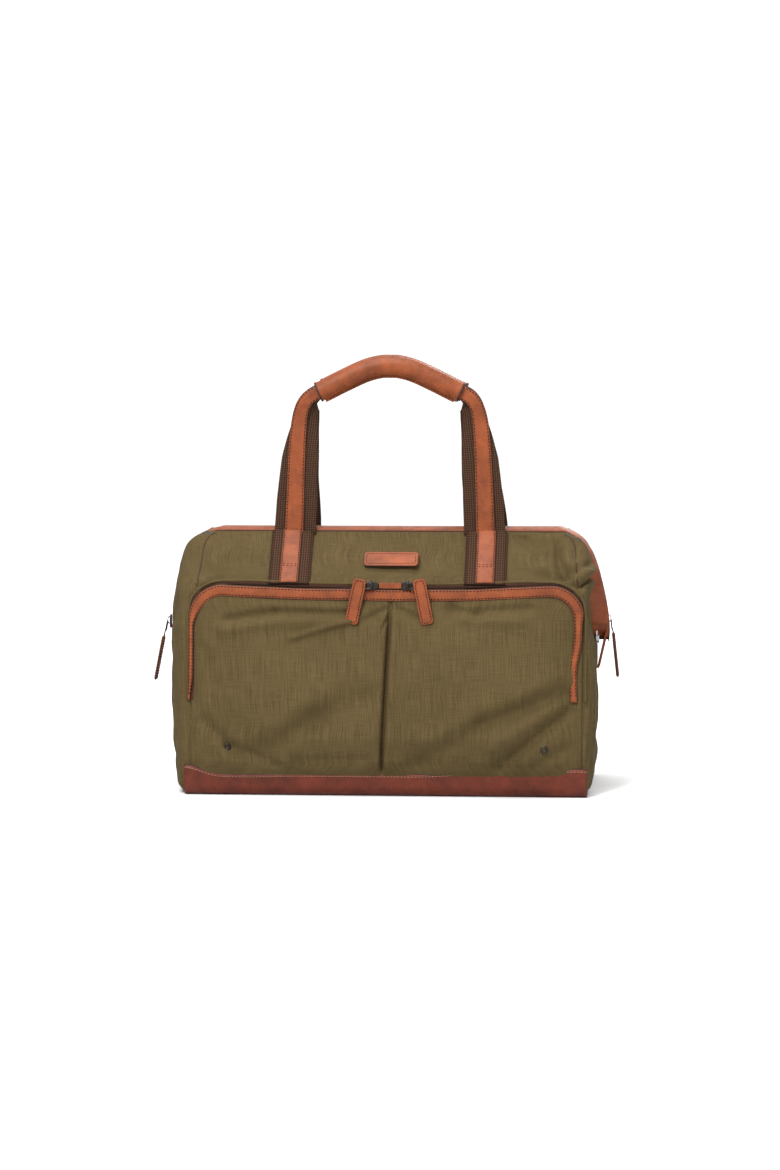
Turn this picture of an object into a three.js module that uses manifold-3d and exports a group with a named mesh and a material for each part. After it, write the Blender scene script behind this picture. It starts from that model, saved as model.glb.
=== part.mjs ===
// Weekender bag with a wide framed mouth, a zipped front pocket and two webbing handles.
// Millimetres. X runs along the bag, Y from front to back, Z up. The origin is the middle of the base.
import * as THREE from "three";
import { mergeVertices } from "three/addons/utils/BufferGeometryUtils.js";
import Module from "manifold-3d";

const wasm = await Module();
wasm.setup();

// ---- Driving dimensions ----
const GAP = 0.4; // clearance between pieces that touch on the real bag
const CLOTH = 3; // fabric with its padding
const SHOULDER = { z: 243, halfY: 90 }; // where the pocket zip line meets the sloping top
const TOP = { z: 299, halfX: 212, halfY: 31 }; // closed edge of the fabric
const WAIST = { z: 188, halfX: 251 }; // widest point of the ends
const CORNER_RADIUS = 22; // upright corners of the body
const PIVOT_Z = 176; // the mouth's two frame halves turn here
const PANEL_HALF_X = 224; // front and rear panels end here, the end panels begin

const BASE = { halfX: 236, halfY: 108, topHalfY: 112.4, height: 26, skin: 2.6 };
const BOARD = { halfX: 226, halfY: 98, skin: 2 };
const LINING = { skin: 1.8, inset: 3.6, top: 170 };

const RIDGE_SLOPE = 1 / 3; // how far the end ridge moves in for each unit up
const RIDGE_PROUD = 5; // the zip ridge stands this far outside the end panels
const TAPE_HALF_Y = 4.6;
const FACING = { bottom: 192, skin: 2 };

const STAY = { thick: 1.6, wide: 8, pivotX: 242.4, nest: 1.9, topHalfX: 203, rise: 119, lean: 0.2 };
const RIVET = { radius: 2, headRadius: 4.5, head: 1.5, inner: 240.9, outer: 255.8 };

const POCKET = {
  halfX: 230, top: 214.4, hingeZ: 84.4, trim: 14, trimSkin: 2.5, bulge: 14, radius: 34, foot: 0.6,
  sag: 5,
};
const POCKET_LEAN = Math.atan2(109 - SHOULDER.halfY, SHOULDER.z - BASE.height);
const POCKET_FOOT_Y = 109;

const HANDLE = { halfX: 112, web: 50, webSkin: 3, strip: 23, stripSkin: 2, y: 34.5, foot: 303 };
const GRIP = { radius: 12, start: 94 };

const PULL_TAB = { wide: 14, long: 46, skin: 2.6 };
const PULL_RING = { wide: 8, long: 12, skin: 2 };
const END_SLIDER_Z = 198;

// ---- Materials ----
const material = (color, roughness, metalness = 0) =>
  new THREE.MeshStandardMaterial({ color, roughness, metalness });
const LOOKS = {
  canvas: material(0x6b5c40, 0.9),
  lining: material(0x4f4a40, 0.85),
  tan_leather: material(0xa5664a, 0.55),
  base_leather: material(0x6f3d2d, 0.5),
  webbing: material(0x4b3326, 0.85),
  zip_tape: material(0x5c4038, 0.85),
  gunmetal: material(0x3a3634, 0.35, 0.9),
  spring_steel: material(0x8c8e90, 0.35, 1),
  board: material(0x2b2a28, 0.7),
};

const bag = new THREE.Group();
const at = (x, y, z) => new THREE.Vector3(x, y, z);

function place(name, look, geometry, parent = bag) {
  const mesh = new THREE.Mesh(geometry, LOOKS[look]);
  mesh.name = name;
  parent.add(mesh);
  return mesh;
}

// ---- Closed solids ----
function bareGeometry(positions, index) {
  const geometry = new THREE.BufferGeometry();
  geometry.setAttribute("position", new THREE.Float32BufferAttribute(positions, 3));
  geometry.setIndex(index);
  return geometry;
}

function toSolid(geometry) {
  const bare = geometry.clone();
  bare.deleteAttribute("normal");
  bare.deleteAttribute("uv");
  const merged = mergeVertices(bare, 1e-3);
  return new wasm.Manifold(
    new wasm.Mesh({
      numProp: 3,
      vertProperties: merged.attributes.position.array,
      triVerts: new Uint32Array(merged.index.array),
    }),
  );
}

function fromSolid(solid) {
  const mesh = solid.getMesh();
  return bareGeometry(Array.from(mesh.vertProperties), Array.from(mesh.triVerts));
}

// Turns a closed surface's triangles over if they face inwards.
function facingOut(points, index) {
  let volume = 0;
  for (let i = 0; i < index.length; i += 3) {
    const [a, b, c] = [points[index[i]], points[index[i + 1]], points[index[i + 2]]];
    volume += a.dot(b.clone().cross(c));
  }
  const turned = volume < 0 ? index.slice().reverse() : index;
  return bareGeometry(points.flatMap((p) => p.toArray()), turned);
}

// A curved panel: the closed solid between two grids of points with the same rows and columns.
function panel(front, back) {
  const rows = front.length;
  const columns = front[0].length;
  const points = [...front.flat(), ...back.flat()];
  const index = [];
  const id = (side, r, c) => side * rows * columns + r * columns + c;
  const quad = (a, b, c, d) => index.push(a, b, c, a, c, d);
  for (let r = 0; r < rows - 1; r++) {
    for (let c = 0; c < columns - 1; c++) {
      quad(id(0, r, c), id(0, r, c + 1), id(0, r + 1, c + 1), id(0, r + 1, c));
      quad(id(1, r, c), id(1, r + 1, c), id(1, r + 1, c + 1), id(1, r, c + 1));
    }
  }
  for (let r = 0; r < rows - 1; r++) {
    const last = columns - 1;
    quad(id(0, r, 0), id(0, r + 1, 0), id(1, r + 1, 0), id(1, r, 0));
    quad(id(0, r, last), id(1, r, last), id(1, r + 1, last), id(0, r + 1, last));
  }
  for (let c = 0; c < columns - 1; c++) {
    const last = rows - 1;
    quad(id(0, 0, c), id(1, 0, c), id(1, 0, c + 1), id(0, 0, c + 1));
    quad(id(0, last, c), id(0, last, c + 1), id(1, last, c + 1), id(1, last, c));
  }
  return facingOut(points, index);
}

// A flexible strip between two edges, given a thickness on its outer side.
function ribbon(edgeA, edgeB, thickness) {
  const outer = edgeA.map((a, i) => {
    const before = edgeA[Math.max(i - 1, 0)];
    const after = edgeA[Math.min(i + 1, edgeA.length - 1)];
    const along = after.clone().sub(before);
    const across = edgeB[i].clone().sub(a);
    const normal = across.cross(along).normalize().multiplyScalar(thickness);
    return [a.clone().add(normal), edgeB[i].clone().add(normal)];
  });
  const inner = edgeA.map((a, i) => [a.clone(), edgeB[i].clone()]);
  return panel(outer, inner);
}

function boxAt(low, high) {
  const size = high.clone().sub(low);
  const middle = low.clone().add(high).multiplyScalar(0.5);
  return new THREE.BoxGeometry(size.x, size.y, size.z).translate(middle.x, middle.y, middle.z);
}

// A flat outline in the XZ plane, given a depth from y = nearY towards +Y.
function plateXZ(outline, nearY, depth, curveSegments = 6) {
  const shape = outline instanceof THREE.Shape ? outline : new THREE.Shape(outline);
  const geometry = new THREE.ExtrudeGeometry(shape, {
    depth, bevelEnabled: false, curveSegments, steps: 1,
  });
  return geometry.rotateX(Math.PI / 2).translate(0, nearY + depth, 0);
}

function rodAlongX(radius, fromX, toX, y, z, sides = 16) {
  const rod = new THREE.CylinderGeometry(radius, radius, Math.abs(toX - fromX), sides);
  return rod.rotateZ(Math.PI / 2).translate((fromX + toX) / 2, y, z);
}

const join = (...pieces) => fromSolid(pieces.map(toSolid).reduce((a, b) => a.add(b)));
const cut = (piece, ...tools) =>
  fromSolid(tools.map(toSolid).reduce((a, b) => a.subtract(b), toSolid(piece)));
const common = (a, b) => fromSolid(toSolid(a).intersect(toSolid(b)));

// ---- Fabric body: one lofted shell, cut into its panels ----
const SECTIONS = [
  { z: 4.4, halfX: 240, halfY: 104.6 },
  { z: 26, halfX: 246, halfY: POCKET_FOOT_Y },
  { z: 110, halfX: 251, halfY: POCKET_FOOT_Y - (84 / 217) * 19 },
  { z: WAIST.z, halfX: WAIST.halfX, halfY: POCKET_FOOT_Y - (162 / 217) * 19 },
  { z: SHOULDER.z, halfX: WAIST.halfX - (SHOULDER.z - WAIST.z) * RIDGE_SLOPE, halfY: SHOULDER.halfY },
  { z: TOP.z, halfX: TOP.halfX, halfY: TOP.halfY },
];

function roundedRing(z, halfX, halfY, radius, cornerSteps = 4) {
  const ring = [];
  const corners = [[1, 1, 0], [-1, 1, 1], [-1, -1, 2], [1, -1, 3]];
  for (const [sx, sy, quarter] of corners) {
    for (let i = 0; i <= cornerSteps; i++) {
      const angle = ((quarter + i / cornerSteps) * Math.PI) / 2;
      const x = sx * (halfX - radius) + radius * Math.cos(angle);
      const y = sy * (halfY - radius) + radius * Math.sin(angle);
      ring.push(at(x, y, z));
    }
  }
  return ring;
}

function loft(rings) {
  const count = rings[0].length;
  const points = rings.flat();
  const index = [];
  for (let r = 0; r < rings.length - 1; r++) {
    for (let i = 0; i < count; i++) {
      const j = (i + 1) % count;
      const [a, b] = [r * count + i, r * count + j];
      index.push(a, b, b + count, a, b + count, a + count);
    }
  }
  const last = (rings.length - 1) * count;
  for (let i = 1; i < count - 1; i++) {
    index.push(0, i + 1, i);
    index.push(last, last + i, last + i + 1);
  }
  return facingOut(points, index);
}

// The body's form, drawn in by an inset. A margin carries its ends straight on past the top and bottom.
function form(inset, below = 0, above = 0) {
  const ring = (s, past = 0) =>
    roundedRing(s.z + past, s.halfX - inset, s.halfY - inset, CORNER_RADIUS - inset / 2);
  const rings = SECTIONS.map((s) => ring(s));
  if (below) rings.unshift(ring(SECTIONS[0], -below));
  if (above) rings.push(ring(SECTIONS.at(-1), above));
  return loft(rings);
}

const fabricShell = cut(form(0), form(CLOTH, 5, 5));
const FAR = 400;
const PANEL_TOP = SHOULDER.z - GAP / 2;
const END_TOP = PIVOT_Z - 6.5;

function bodyPanels() {
  const side = (low, high) => common(fabricShell, boxAt(low, high));
  const edge = PANEL_HALF_X - GAP / 2;
  place("front_panel", "canvas", side(at(-edge, -FAR, 0), at(edge, 0, PANEL_TOP)));
  place("rear_panel", "canvas", side(at(-edge, 0, 0), at(edge, FAR, PANEL_TOP)));
  const outer = PANEL_HALF_X + GAP / 2;
  place("end_panel_left", "canvas", side(at(-FAR, -FAR, 0), at(-outer, FAR, END_TOP)));
  place("end_panel_right", "canvas", side(at(outer, -FAR, 0), at(FAR, FAR, END_TOP)));
}

// The sloping top: each half wraps from the shoulder round to the zip ridge at both ends.
function yoke(rear) {
  const lower = boxAt(at(-FAR, -FAR, -10), at(FAR, 0, END_TOP + GAP));
  const behindPocket = boxAt(
    at(-PANEL_HALF_X - GAP, -FAR, 0),
    at(PANEL_HALF_X + GAP, FAR, PANEL_TOP + GAP),
  );
  const half = boxAt(at(-FAR, -FAR, 0), at(FAR, -12, TOP.z - 0.2));
  const wedge = new THREE.Shape([
    new THREE.Vector2(-14.6, END_TOP), new THREE.Vector2(-14.6, FACING.bottom),
    new THREE.Vector2(-32, TOP.z), new THREE.Vector2(-32, FAR), new THREE.Vector2(60, FAR),
    new THREE.Vector2(60, END_TOP),
  ]);
  const depth = 80;
  const wedgeAt = (x) =>
    new THREE.ExtrudeGeometry(wedge, { depth, bevelEnabled: false })
      .rotateX(Math.PI / 2)
      .rotateZ(Math.PI / 2)
      .translate(x, 0, 0);
  let piece = cut(common(fabricShell, half), lower, behindPocket);
  piece = cut(piece, wedgeAt(205), wedgeAt(-205 - depth));
  return rear ? rearCopy(piece) : piece;
}

// The rear half of the mouth repeats the front half, turned half way round Z.
function rearCopy(geometry) {
  return geometry.clone().rotateZ(Math.PI);
}

// ---- Base ----
function baseParts() {
  const outline = (halfY, topHalfY, low, high) => [
    at(0, -topHalfY, high), at(0, -halfY, low), at(0, halfY, low), at(0, topHalfY, high),
  ];
  const prism = (halfX, points) => {
    const ring = (x) => points.map((p) => at(x, p.y, p.z));
    return loft([ring(-halfX), ring(halfX)]);
  };
  const { halfX, halfY, topHalfY, height, skin } = BASE;
  const outer = prism(halfX, outline(halfY, topHalfY, 0, height));
  const hollow = prism(halfX + 5, outline(halfY - skin, topHalfY - skin + 0.2, skin, height + 0.1));
  place("base_leather", "base_leather", cut(outer, hollow));
  const low = BASE.skin + GAP;
  place("base_board", "board", boxAt(
    at(-BOARD.halfX, -BOARD.halfY, low), at(BOARD.halfX, BOARD.halfY, low + BOARD.skin),
  ));
  const floor = low + BOARD.skin + GAP;
  const liningBlock = boxAt(at(-FAR, -FAR, floor), at(FAR, FAR, LINING.top));
  const liningHollow = boxAt(at(-FAR, -FAR, floor + LINING.skin), at(FAR, FAR, FAR));
  const inner = common(form(LINING.inset + LINING.skin), liningHollow);
  place("lining", "lining", cut(common(form(LINING.inset), liningBlock), inner));
}

// ---- Mouth: leather facings, zip tapes and the folding frame ----
const wallX = (z) => WAIST.halfX - (z - WAIST.z) * RIDGE_SLOPE;
const ridgeX = (z) => wallX(z) + RIDGE_PROUD;

// Goes up one end, across the top and down the other end.
function mirroredRun(rightHalf) {
  const left = rightHalf.slice().reverse().map((p) => at(-p.x, p.y, p.z));
  return [...rightHalf, ...left];
}

const seamY = (z) => -14 - ((z - FACING.bottom) / (TOP.z - FACING.bottom)) * 16.6;
const SEAM = mirroredRun([
  at(wallX(FACING.bottom) + GAP, seamY(FACING.bottom), FACING.bottom),
  at(wallX(240) + GAP, seamY(240), 240),
  at(wallX(286) + GAP, seamY(286), 286),
  at(211, -30.2, 295),
  at(203, -30.6, TOP.z + 0.4),
]);
const RIDGE = mirroredRun([
  at(ridgeX(FACING.bottom), -TAPE_HALF_Y, FACING.bottom),
  at(ridgeX(240), -TAPE_HALF_Y, 240),
  at(ridgeX(286), -TAPE_HALF_Y, 286),
  at(216.5, -TAPE_HALF_Y, 296.5),
  at(206, -TAPE_HALF_Y, TOP.z + 2),
]);
const shiftedY = (edge, y) => edge.map((p) => at(p.x, y, p.z));

function frameStay(nest) {
  const halfAt = (r) => STAY.pivotX + nest - (r < 20 ? 0 : ((r - 20) / 84) * 31);
  const middle = [at(halfAt(0), 0, -3), at(halfAt(20), 0, 20), at(halfAt(104), 0, 104)];
  const corner = at(halfAt(104), 0, 104);
  middle.push(at(corner.x - 4, 0, 112), at(corner.x - 12, 0, STAY.rise - nest));
  const run = mirroredRun(middle);
  const offset = (sign) => run.map((p, i) => {
    const before = run[Math.max(i - 1, 0)];
    const after = run[Math.min(i + 1, run.length - 1)];
    const along = after.clone().sub(before).normalize();
    return at(p.x + (sign * along.z * STAY.thick) / 2, 0, p.z - (sign * along.x * STAY.thick) / 2);
  });
  const nearY = -STAY.wide / 2;
  const grid = (edge) => edge.map((p) => [at(p.x, nearY, p.z), at(p.x, -nearY, p.z)]);
  const strip = panel(grid(offset(1)), grid(offset(-1)));
  const eyeX = STAY.pivotX + nest;
  const half = STAY.thick / 2;
  const ends = [-1, 1].map((s) => rodAlongX(6, s * (eyeX - half), s * (eyeX + half), 0, 0, 20));
  const holes = [-1, 1].map((s) => rodAlongX(2.3, s * (eyeX - 3), s * (eyeX + 3), 0, 0, 16));
  const stay = cut(join(strip, ...ends), ...holes);
  return stay.rotateX(STAY.lean).translate(0, 0, PIVOT_Z);
}

function mouthHalf(name, rear) {
  const turned = (geometry) => (rear ? rearCopy(geometry) : geometry);
  place(`${name}_yoke`, "canvas", yoke(rear));
  place(`${name}_facing`, "tan_leather", turned(ribbon(SEAM, RIDGE, FACING.skin)));
  const tapeEdge = shiftedY(RIDGE, -TAPE_HALF_Y + 3 * GAP);
  const teethEdge = shiftedY(RIDGE, -0.6);
  place(`${name}_zip_tape`, "zip_tape", turned(ribbon(tapeEdge, teethEdge, 1.2)));
  place(`${name}_stay`, "spring_steel", turned(frameStay(rear ? STAY.nest : 0)));
}

// ---- Mouth ends: leather tabs and the rivets that the frame turns on ----
function mouthEnds() {
  for (const [name, s] of [["left", -1], ["right", 1]]) {
    const outline = new THREE.Shape();
    outline.moveTo(-9, 140);
    outline.lineTo(9, 140);
    outline.lineTo(16, 152);
    outline.lineTo(16, PIVOT_Z - 6);
    outline.lineTo(10, PIVOT_Z);
    outline.absarc(0, PIVOT_Z, 10, 0, Math.PI, false);
    outline.lineTo(-16, PIVOT_Z - 6);
    outline.lineTo(-16, 152);
    const tab = new THREE.ExtrudeGeometry(outline, { depth: 2.6, bevelEnabled: false, curveSegments: 5 })
      .rotateX(Math.PI / 2)
      .rotateZ(Math.PI / 2)
      .translate(s > 0 ? 252.4 : -255, 0, 0);
    const pin = rodAlongX(RIVET.radius, s * RIVET.inner, s * RIVET.outer, 0, PIVOT_Z);
    const bore = rodAlongX(RIVET.radius + 0.3, s * 240, s * 260, 0, PIVOT_Z);
    place(`zip_end_tab_${name}`, "tan_leather", cut(tab, bore));
    const heads = [[RIVET.inner - RIVET.head, RIVET.inner + 0.05], [RIVET.outer - 0.05, RIVET.outer + RIVET.head]]
      .map(([a, b]) => rodAlongX(RIVET.headRadius, s * a, s * b, 0, PIVOT_Z));
    place(`frame_rivet_${name}`, "gunmetal", join(pin, ...heads));
  }
}

// ---- Front pocket, in the plane of the front panel ----
const pocket = new THREE.Group();
pocket.position.set(0, -POCKET_FOOT_Y, BASE.height);
pocket.rotation.x = -POCKET_LEAN;
bag.add(pocket);

// An upside-down U in the XZ plane, between two rounded arches.
function arch(halfX, top, radius, width, bottom) {
  const shape = new THREE.Shape();
  shape.moveTo(-halfX, bottom);
  shape.lineTo(-halfX + width, bottom);
  shape.lineTo(-halfX + width, top - radius);
  shape.absarc(-halfX + radius, top - radius, radius - width, Math.PI, Math.PI / 2, true);
  shape.lineTo(halfX - radius, top - width);
  shape.absarc(halfX - radius, top - radius, radius - width, Math.PI / 2, 0, true);
  shape.lineTo(halfX - width, bottom);
  shape.lineTo(halfX, bottom);
  shape.lineTo(halfX, top - radius);
  shape.absarc(halfX - radius, top - radius, radius, 0, Math.PI / 2, false);
  shape.lineTo(-halfX + radius, top);
  shape.absarc(-halfX + radius, top - radius, radius, Math.PI / 2, Math.PI, false);
  return shape;
}

// A rectangle in the XZ plane whose upper corners are round.
function roundedTop(halfX, top, radius, bottom) {
  const shape = new THREE.Shape();
  shape.moveTo(-halfX, bottom);
  shape.lineTo(halfX, bottom);
  shape.lineTo(halfX, top - radius);
  shape.absarc(halfX - radius, top - radius, radius, 0, Math.PI / 2, false);
  shape.lineTo(-halfX + radius, top);
  shape.absarc(-halfX + radius, top - radius, radius, Math.PI / 2, Math.PI, false);
  return shape;
}

// How far the pocket stands out at each height above its foot, as a share of its full bulge.
const POCKET_FALL = [[0, 0.1], [14, 0.7], [40, 1], [84, 1], [120, 0.75], [150, 0.42], [200, 0.05]];
function pocketBulge(x, z) {
  const across = 1 - Math.pow(Math.abs(x) / (POCKET.halfX - POCKET.trim), 6);
  const after = Math.max(1, POCKET_FALL.findIndex(([height]) => height >= z));
  const [z0, f0] = POCKET_FALL[after - 1];
  const [z1, f1] = POCKET_FALL[after];
  const along = f0 + ((z - z0) / (z1 - z0)) * (f1 - f0);
  return POCKET.bulge * Math.max(across, 0) * along;
}

function pocketFace(heights, halfX) {
  const spread = [-1, -0.96, -0.85, -0.65, -0.35, 0, 0.35, 0.65, 0.85, 0.96, 1];
  const grid = (extra) => heights.map((z) =>
    spread.map((s) => at(s * halfX, -(POCKET.foot + extra + pocketBulge(s * halfX, z)), z)));
  return panel(grid(CLOTH), grid(0));
}

function pocketParts() {
  const inside = POCKET.halfX - POCKET.trim - GAP;
  const flapLow = POCKET.hingeZ + GAP;
  place("pocket_lower", "canvas", pocketFace([0.6, 14, 40, POCKET.hingeZ], inside), pocket);
  const { halfX, top, radius, trim, trimSkin } = POCKET;
  const flapTop = top - trim - GAP;
  const insideTrim = plateXZ(roundedTop(inside, flapTop, radius - trim - GAP, flapLow), -50, 50);
  place("pocket_flap_panel", "canvas",
    common(pocketFace([flapLow, 120, 150, flapTop], inside), insideTrim), pocket);
  const trimNear = -2 - trimSkin;
  place("pocket_trim", "tan_leather",
    plateXZ(arch(halfX, top, radius, trim, flapLow), trimNear, trimSkin), pocket);
  place("pocket_zip_tape_inner", "zip_tape",
    plateXZ(arch(halfX - 0.2, top - 0.2, radius, 6, flapLow), -1.6, 1.2), pocket);
  place("pocket_zip_tape_outer", "zip_tape",
    plateXZ(arch(halfX + 7.6, top + 7.6, radius + 7, 7, flapLow), -1.6, 1.2), pocket);
  const low = top - 2 - POCKET.sag;
  place("pocket_zip_bridge", "tan_leather", boxAt(at(-17, -6.8, low), at(17, -4.9, low + 7)), pocket);
  for (const [name, s] of [["left", -1], ["right", 1]]) {
    const eyelet = new THREE.Shape();
    eyelet.absarc(0, 0, 4.75, 0, Math.PI * 2, false);
    const hole = new THREE.Path();
    hole.absarc(0, 0, 2, 0, Math.PI * 2, true);
    eyelet.holes.push(hole);
    const x = s * 184;
    const depth = POCKET.foot + CLOTH + pocketBulge(x, 34) + 2.4;
    const ring = plateXZ(eyelet, -depth, 1.2, 8).translate(x, 0, 34);
    place(`eyelet_${name}`, "gunmetal", ring, pocket);
  }
}

// ---- Zip sliders: a body, a ring and a leather tab, hung in front of y = 0 ----
function slider(name, parent, { bodyDepth, ringDepth, splay, swing }) {
  const body = boxAt(at(-4.5, -bodyDepth - 4, -7), at(4.5, -bodyDepth, 7));
  const loop = boxAt(at(-1.6, -ringDepth - 1.6, -1), at(1.6, -bodyDepth - 3.9, 5));
  place(`${name}_slider`, "gunmetal", join(body, loop), parent);
  const hung = new THREE.Group();
  hung.position.set(0, -ringDepth - 3, -1.4);
  hung.rotation.set(-swing, splay, 0);
  parent.add(hung);
  const { wide, long, skin } = PULL_RING;
  const plate = boxAt(at(-wide / 2, -skin / 2, -long), at(wide / 2, skin / 2, 0));
  const window = boxAt(at(-wide / 2 + 2, -FAR, -long + 2), at(wide / 2 - 2, FAR, -2));
  place(`${name}_puller`, "gunmetal", cut(plate, window), hung);
  const tab = PULL_TAB;
  const half = tab.wide / 2;
  const outline = new THREE.Shape();
  outline.moveTo(-4, -long - GAP);
  outline.lineTo(-half, -long - 8);
  outline.lineTo(-half, -long - tab.long + half);
  outline.absarc(0, -long - tab.long + half, half, Math.PI, Math.PI * 2, false);
  outline.lineTo(half, -long - 8);
  outline.lineTo(4, -long - GAP);
  place(`${name}_pull_tab`, "tan_leather",
    plateXZ(outline, -tab.skin / 2, tab.skin), hung);
}

function sliders() {
  const splay = THREE.MathUtils.degToRad(11);
  const swing = THREE.MathUtils.degToRad(12); // the end pulls lie out along the sloping ridge
  for (const [name, s] of [["left", -1], ["right", 1]]) {
    const onPocket = new THREE.Group();
    onPocket.position.set(s * 24, 0, POCKET.top + 1 - POCKET.sag);
    pocket.add(onPocket);
    slider(`pocket_${name}`, onPocket, { bodyDepth: 4.9, ringDepth: 9.6, splay: -s * splay, swing: 0 });
    const onEnd = new THREE.Group();
    onEnd.position.set(s * (ridgeX(END_SLIDER_Z) + 1.2 + 3), 0, END_SLIDER_Z);
    onEnd.rotation.z = (s * Math.PI) / 2;
    bag.add(onEnd);
    slider(`main_${name}`, onEnd, { bodyDepth: 0.4, ringDepth: 4.5, splay: 0, swing });
  }
}

// ---- Handles ----
const LEG = [
  at(HANDLE.halfX, 0, HANDLE.foot), at(111, 0, 345), at(109, 0, 389),
  at(106, 0, 426), at(GRIP.start, 0, 461),
];
const ARCH_TOP = [at(76, 0, 469), at(52, 0, 481), at(27, 0, 491.5), at(0, 0, 496)];

function handleRun(points) {
  return new THREE.CatmullRomCurve3(points, false, "centripetal");
}

// A flat strap that follows a curve in the XZ plane; width is a function of the place along it.
function strap(curve, steps, width, nearY, skin) {
  const edge = (sign) => Array.from({ length: steps + 1 }, (_, i) => {
    const t = i / steps;
    const p = curve.getPointAt(t);
    const along = curve.getTangentAt(t);
    const reach = (sign * width(t)) / 2;
    return at(p.x + along.z * reach, 0, p.z - along.x * reach);
  });
  const outline = (y) => edge(1).map((p, i) => [at(p.x, y, p.z), at(edge(-1)[i].x, y, edge(-1)[i].z)]);
  return panel(outline(nearY), outline(nearY + skin));
}

// The rolled leather grip: a solid rod that follows the handle's crown.
function gripRod(radius) {
  const top = [LEG[4], ...ARCH_TOP.slice(0, 3)];
  const run = handleRun(mirroredRun(top).toSpliced(4, 0, ARCH_TOP[3]));
  const section = new THREE.Shape();
  section.absarc(0, 0, radius, 0, Math.PI * 2, false);
  return new THREE.ExtrudeGeometry(section, {
    steps: 18, curveSegments: 6, bevelEnabled: false, extrudePath: run,
  }).translate(0, -HANDLE.y, 0);
}

function handle(name, rear) {
  const turned = (geometry) => (rear ? rearCopy(geometry) : geometry);
  const narrow = 21; // the webbing folds in to this width where it meets the grip
  const webWidth = (t) =>
    THREE.MathUtils.lerp(HANDLE.web, narrow, THREE.MathUtils.smoothstep(t, 0.45, 1));
  const webNear = -HANDLE.y - HANDLE.webSkin / 2;
  const stripNear = webNear - GAP - HANDLE.stripSkin;
  const stripWidth = (t) => THREE.MathUtils.lerp(HANDLE.strip, 19, t);
  for (const [side, s] of [["left", -1], ["right", 1]]) {
    const legPoints = LEG.map((p) => at(s * p.x, 0, p.z));
    const clear = gripRod(GRIP.radius + 2 * GAP).translate(s * GAP, 0, -GAP);
    const web = strap(handleRun(legPoints), 16, webWidth, webNear, HANDLE.webSkin);
    place(`${name}_webbing_${side}`, "webbing", turned(cut(web, clear)));
    place(`${name}_handle_strip_${side}`, "tan_leather",
      turned(strap(handleRun(legPoints.slice(0, 4)), 8, stripWidth, stripNear, HANDLE.stripSkin)));
  }
  place(`${name}_grip`, "tan_leather", turned(gripRod(GRIP.radius)));
}

// ---- What is sewn to the sloping top ----
const SEWN_FROM = 8; // distance up the slope from the shoulder
function sewnParts(name, rear) {
  const slope = new THREE.Group();
  const rise = TOP.z - SHOULDER.z;
  const run = SHOULDER.halfY - TOP.halfY;
  const length = Math.hypot(rise, run);
  slope.rotation.x = -Math.atan2(run, rise);
  slope.position.set(0, -SHOULDER.halfY, SHOULDER.z);
  const side = new THREE.Group();
  side.rotation.z = rear ? Math.PI : 0;
  side.add(slope);
  bag.add(side);
  const plate = (halfWidth, x, low, high, near, skin) =>
    boxAt(at(x - halfWidth, -near - skin, low), at(x + halfWidth, -near, high));
  for (const [sideName, s] of [["left", -1], ["right", 1]]) {
    const x = s * HANDLE.halfX;
    place(`${name}_webbing_foot_${sideName}`, "webbing",
      plate(HANDLE.web / 2, x, SEWN_FROM, length - 1, GAP, HANDLE.webSkin), slope);
    place(`${name}_strip_foot_${sideName}`, "tan_leather",
      plate(HANDLE.strip / 2, x, SEWN_FROM, length - 1, 2 * GAP + HANDLE.webSkin, HANDLE.stripSkin), slope);
  }
  if (!rear) {
    place("name_patch", "tan_leather", plate(33, 0, 26, 50, GAP, 1.8), slope);
  }
}

bodyPanels();
baseParts();
mouthHalf("front", false);
mouthHalf("rear", true);
mouthEnds();
pocketParts();
sliders();
handle("front", false);
handle("rear", true);
sewnParts("front", false);
sewnParts("rear", true);

export default bag;
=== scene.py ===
import math

import bmesh
import bpy
import numpy as np
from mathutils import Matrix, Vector, noise


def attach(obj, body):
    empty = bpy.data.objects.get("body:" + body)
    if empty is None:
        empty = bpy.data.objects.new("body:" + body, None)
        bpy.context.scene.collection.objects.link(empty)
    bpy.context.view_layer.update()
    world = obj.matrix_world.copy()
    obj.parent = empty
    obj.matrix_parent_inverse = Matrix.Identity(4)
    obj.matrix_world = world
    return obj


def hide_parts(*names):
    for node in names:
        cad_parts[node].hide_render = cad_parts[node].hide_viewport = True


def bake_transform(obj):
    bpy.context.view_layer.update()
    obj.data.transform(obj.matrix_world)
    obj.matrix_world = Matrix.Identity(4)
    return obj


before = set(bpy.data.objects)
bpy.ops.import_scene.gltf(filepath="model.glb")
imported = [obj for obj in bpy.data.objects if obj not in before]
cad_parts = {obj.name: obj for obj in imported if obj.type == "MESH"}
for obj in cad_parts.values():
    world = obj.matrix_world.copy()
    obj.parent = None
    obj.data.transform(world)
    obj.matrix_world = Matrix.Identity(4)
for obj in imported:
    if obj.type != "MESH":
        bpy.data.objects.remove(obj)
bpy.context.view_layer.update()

MM = 0.001

# ---- Sizes shared with the frame ----
TOP_Z = 302.4
SHOULDER_Z = 243.0
PIVOT_Z = 176.0
FACING_Z = 192.0
POCKET_FOOT_Y = 109.0
POCKET_FOOT_Z = 26.0
SHOULDER_Y = 90.0
LEAN = math.atan2(POCKET_FOOT_Y - SHOULDER_Y, SHOULDER_Z - POCKET_FOOT_Z)
POCKET_HALF_X = 230.0
POCKET_TOP = 219.2
POCKET_RADIUS = 39.0
HINGE_Z = 84.4
TRIM = 14.0
FACING_Y = 31.0  # how far the sloping top's upper edge lies from the middle
STRIP_WIDTH = 22.6
FOOT_WIDTH = 48.5
PATCH = (63, 21, 4)  # length, height and corner radius
EYELET_X, EYELET_Z = 184.0, 30.0  # in the pocket's plane
GRIP_HALF_X = 84.5
LEG_END_X = 80.0  # the webbing and strip run on into the grip as far as this
HANDLE_X = 114.0
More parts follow.
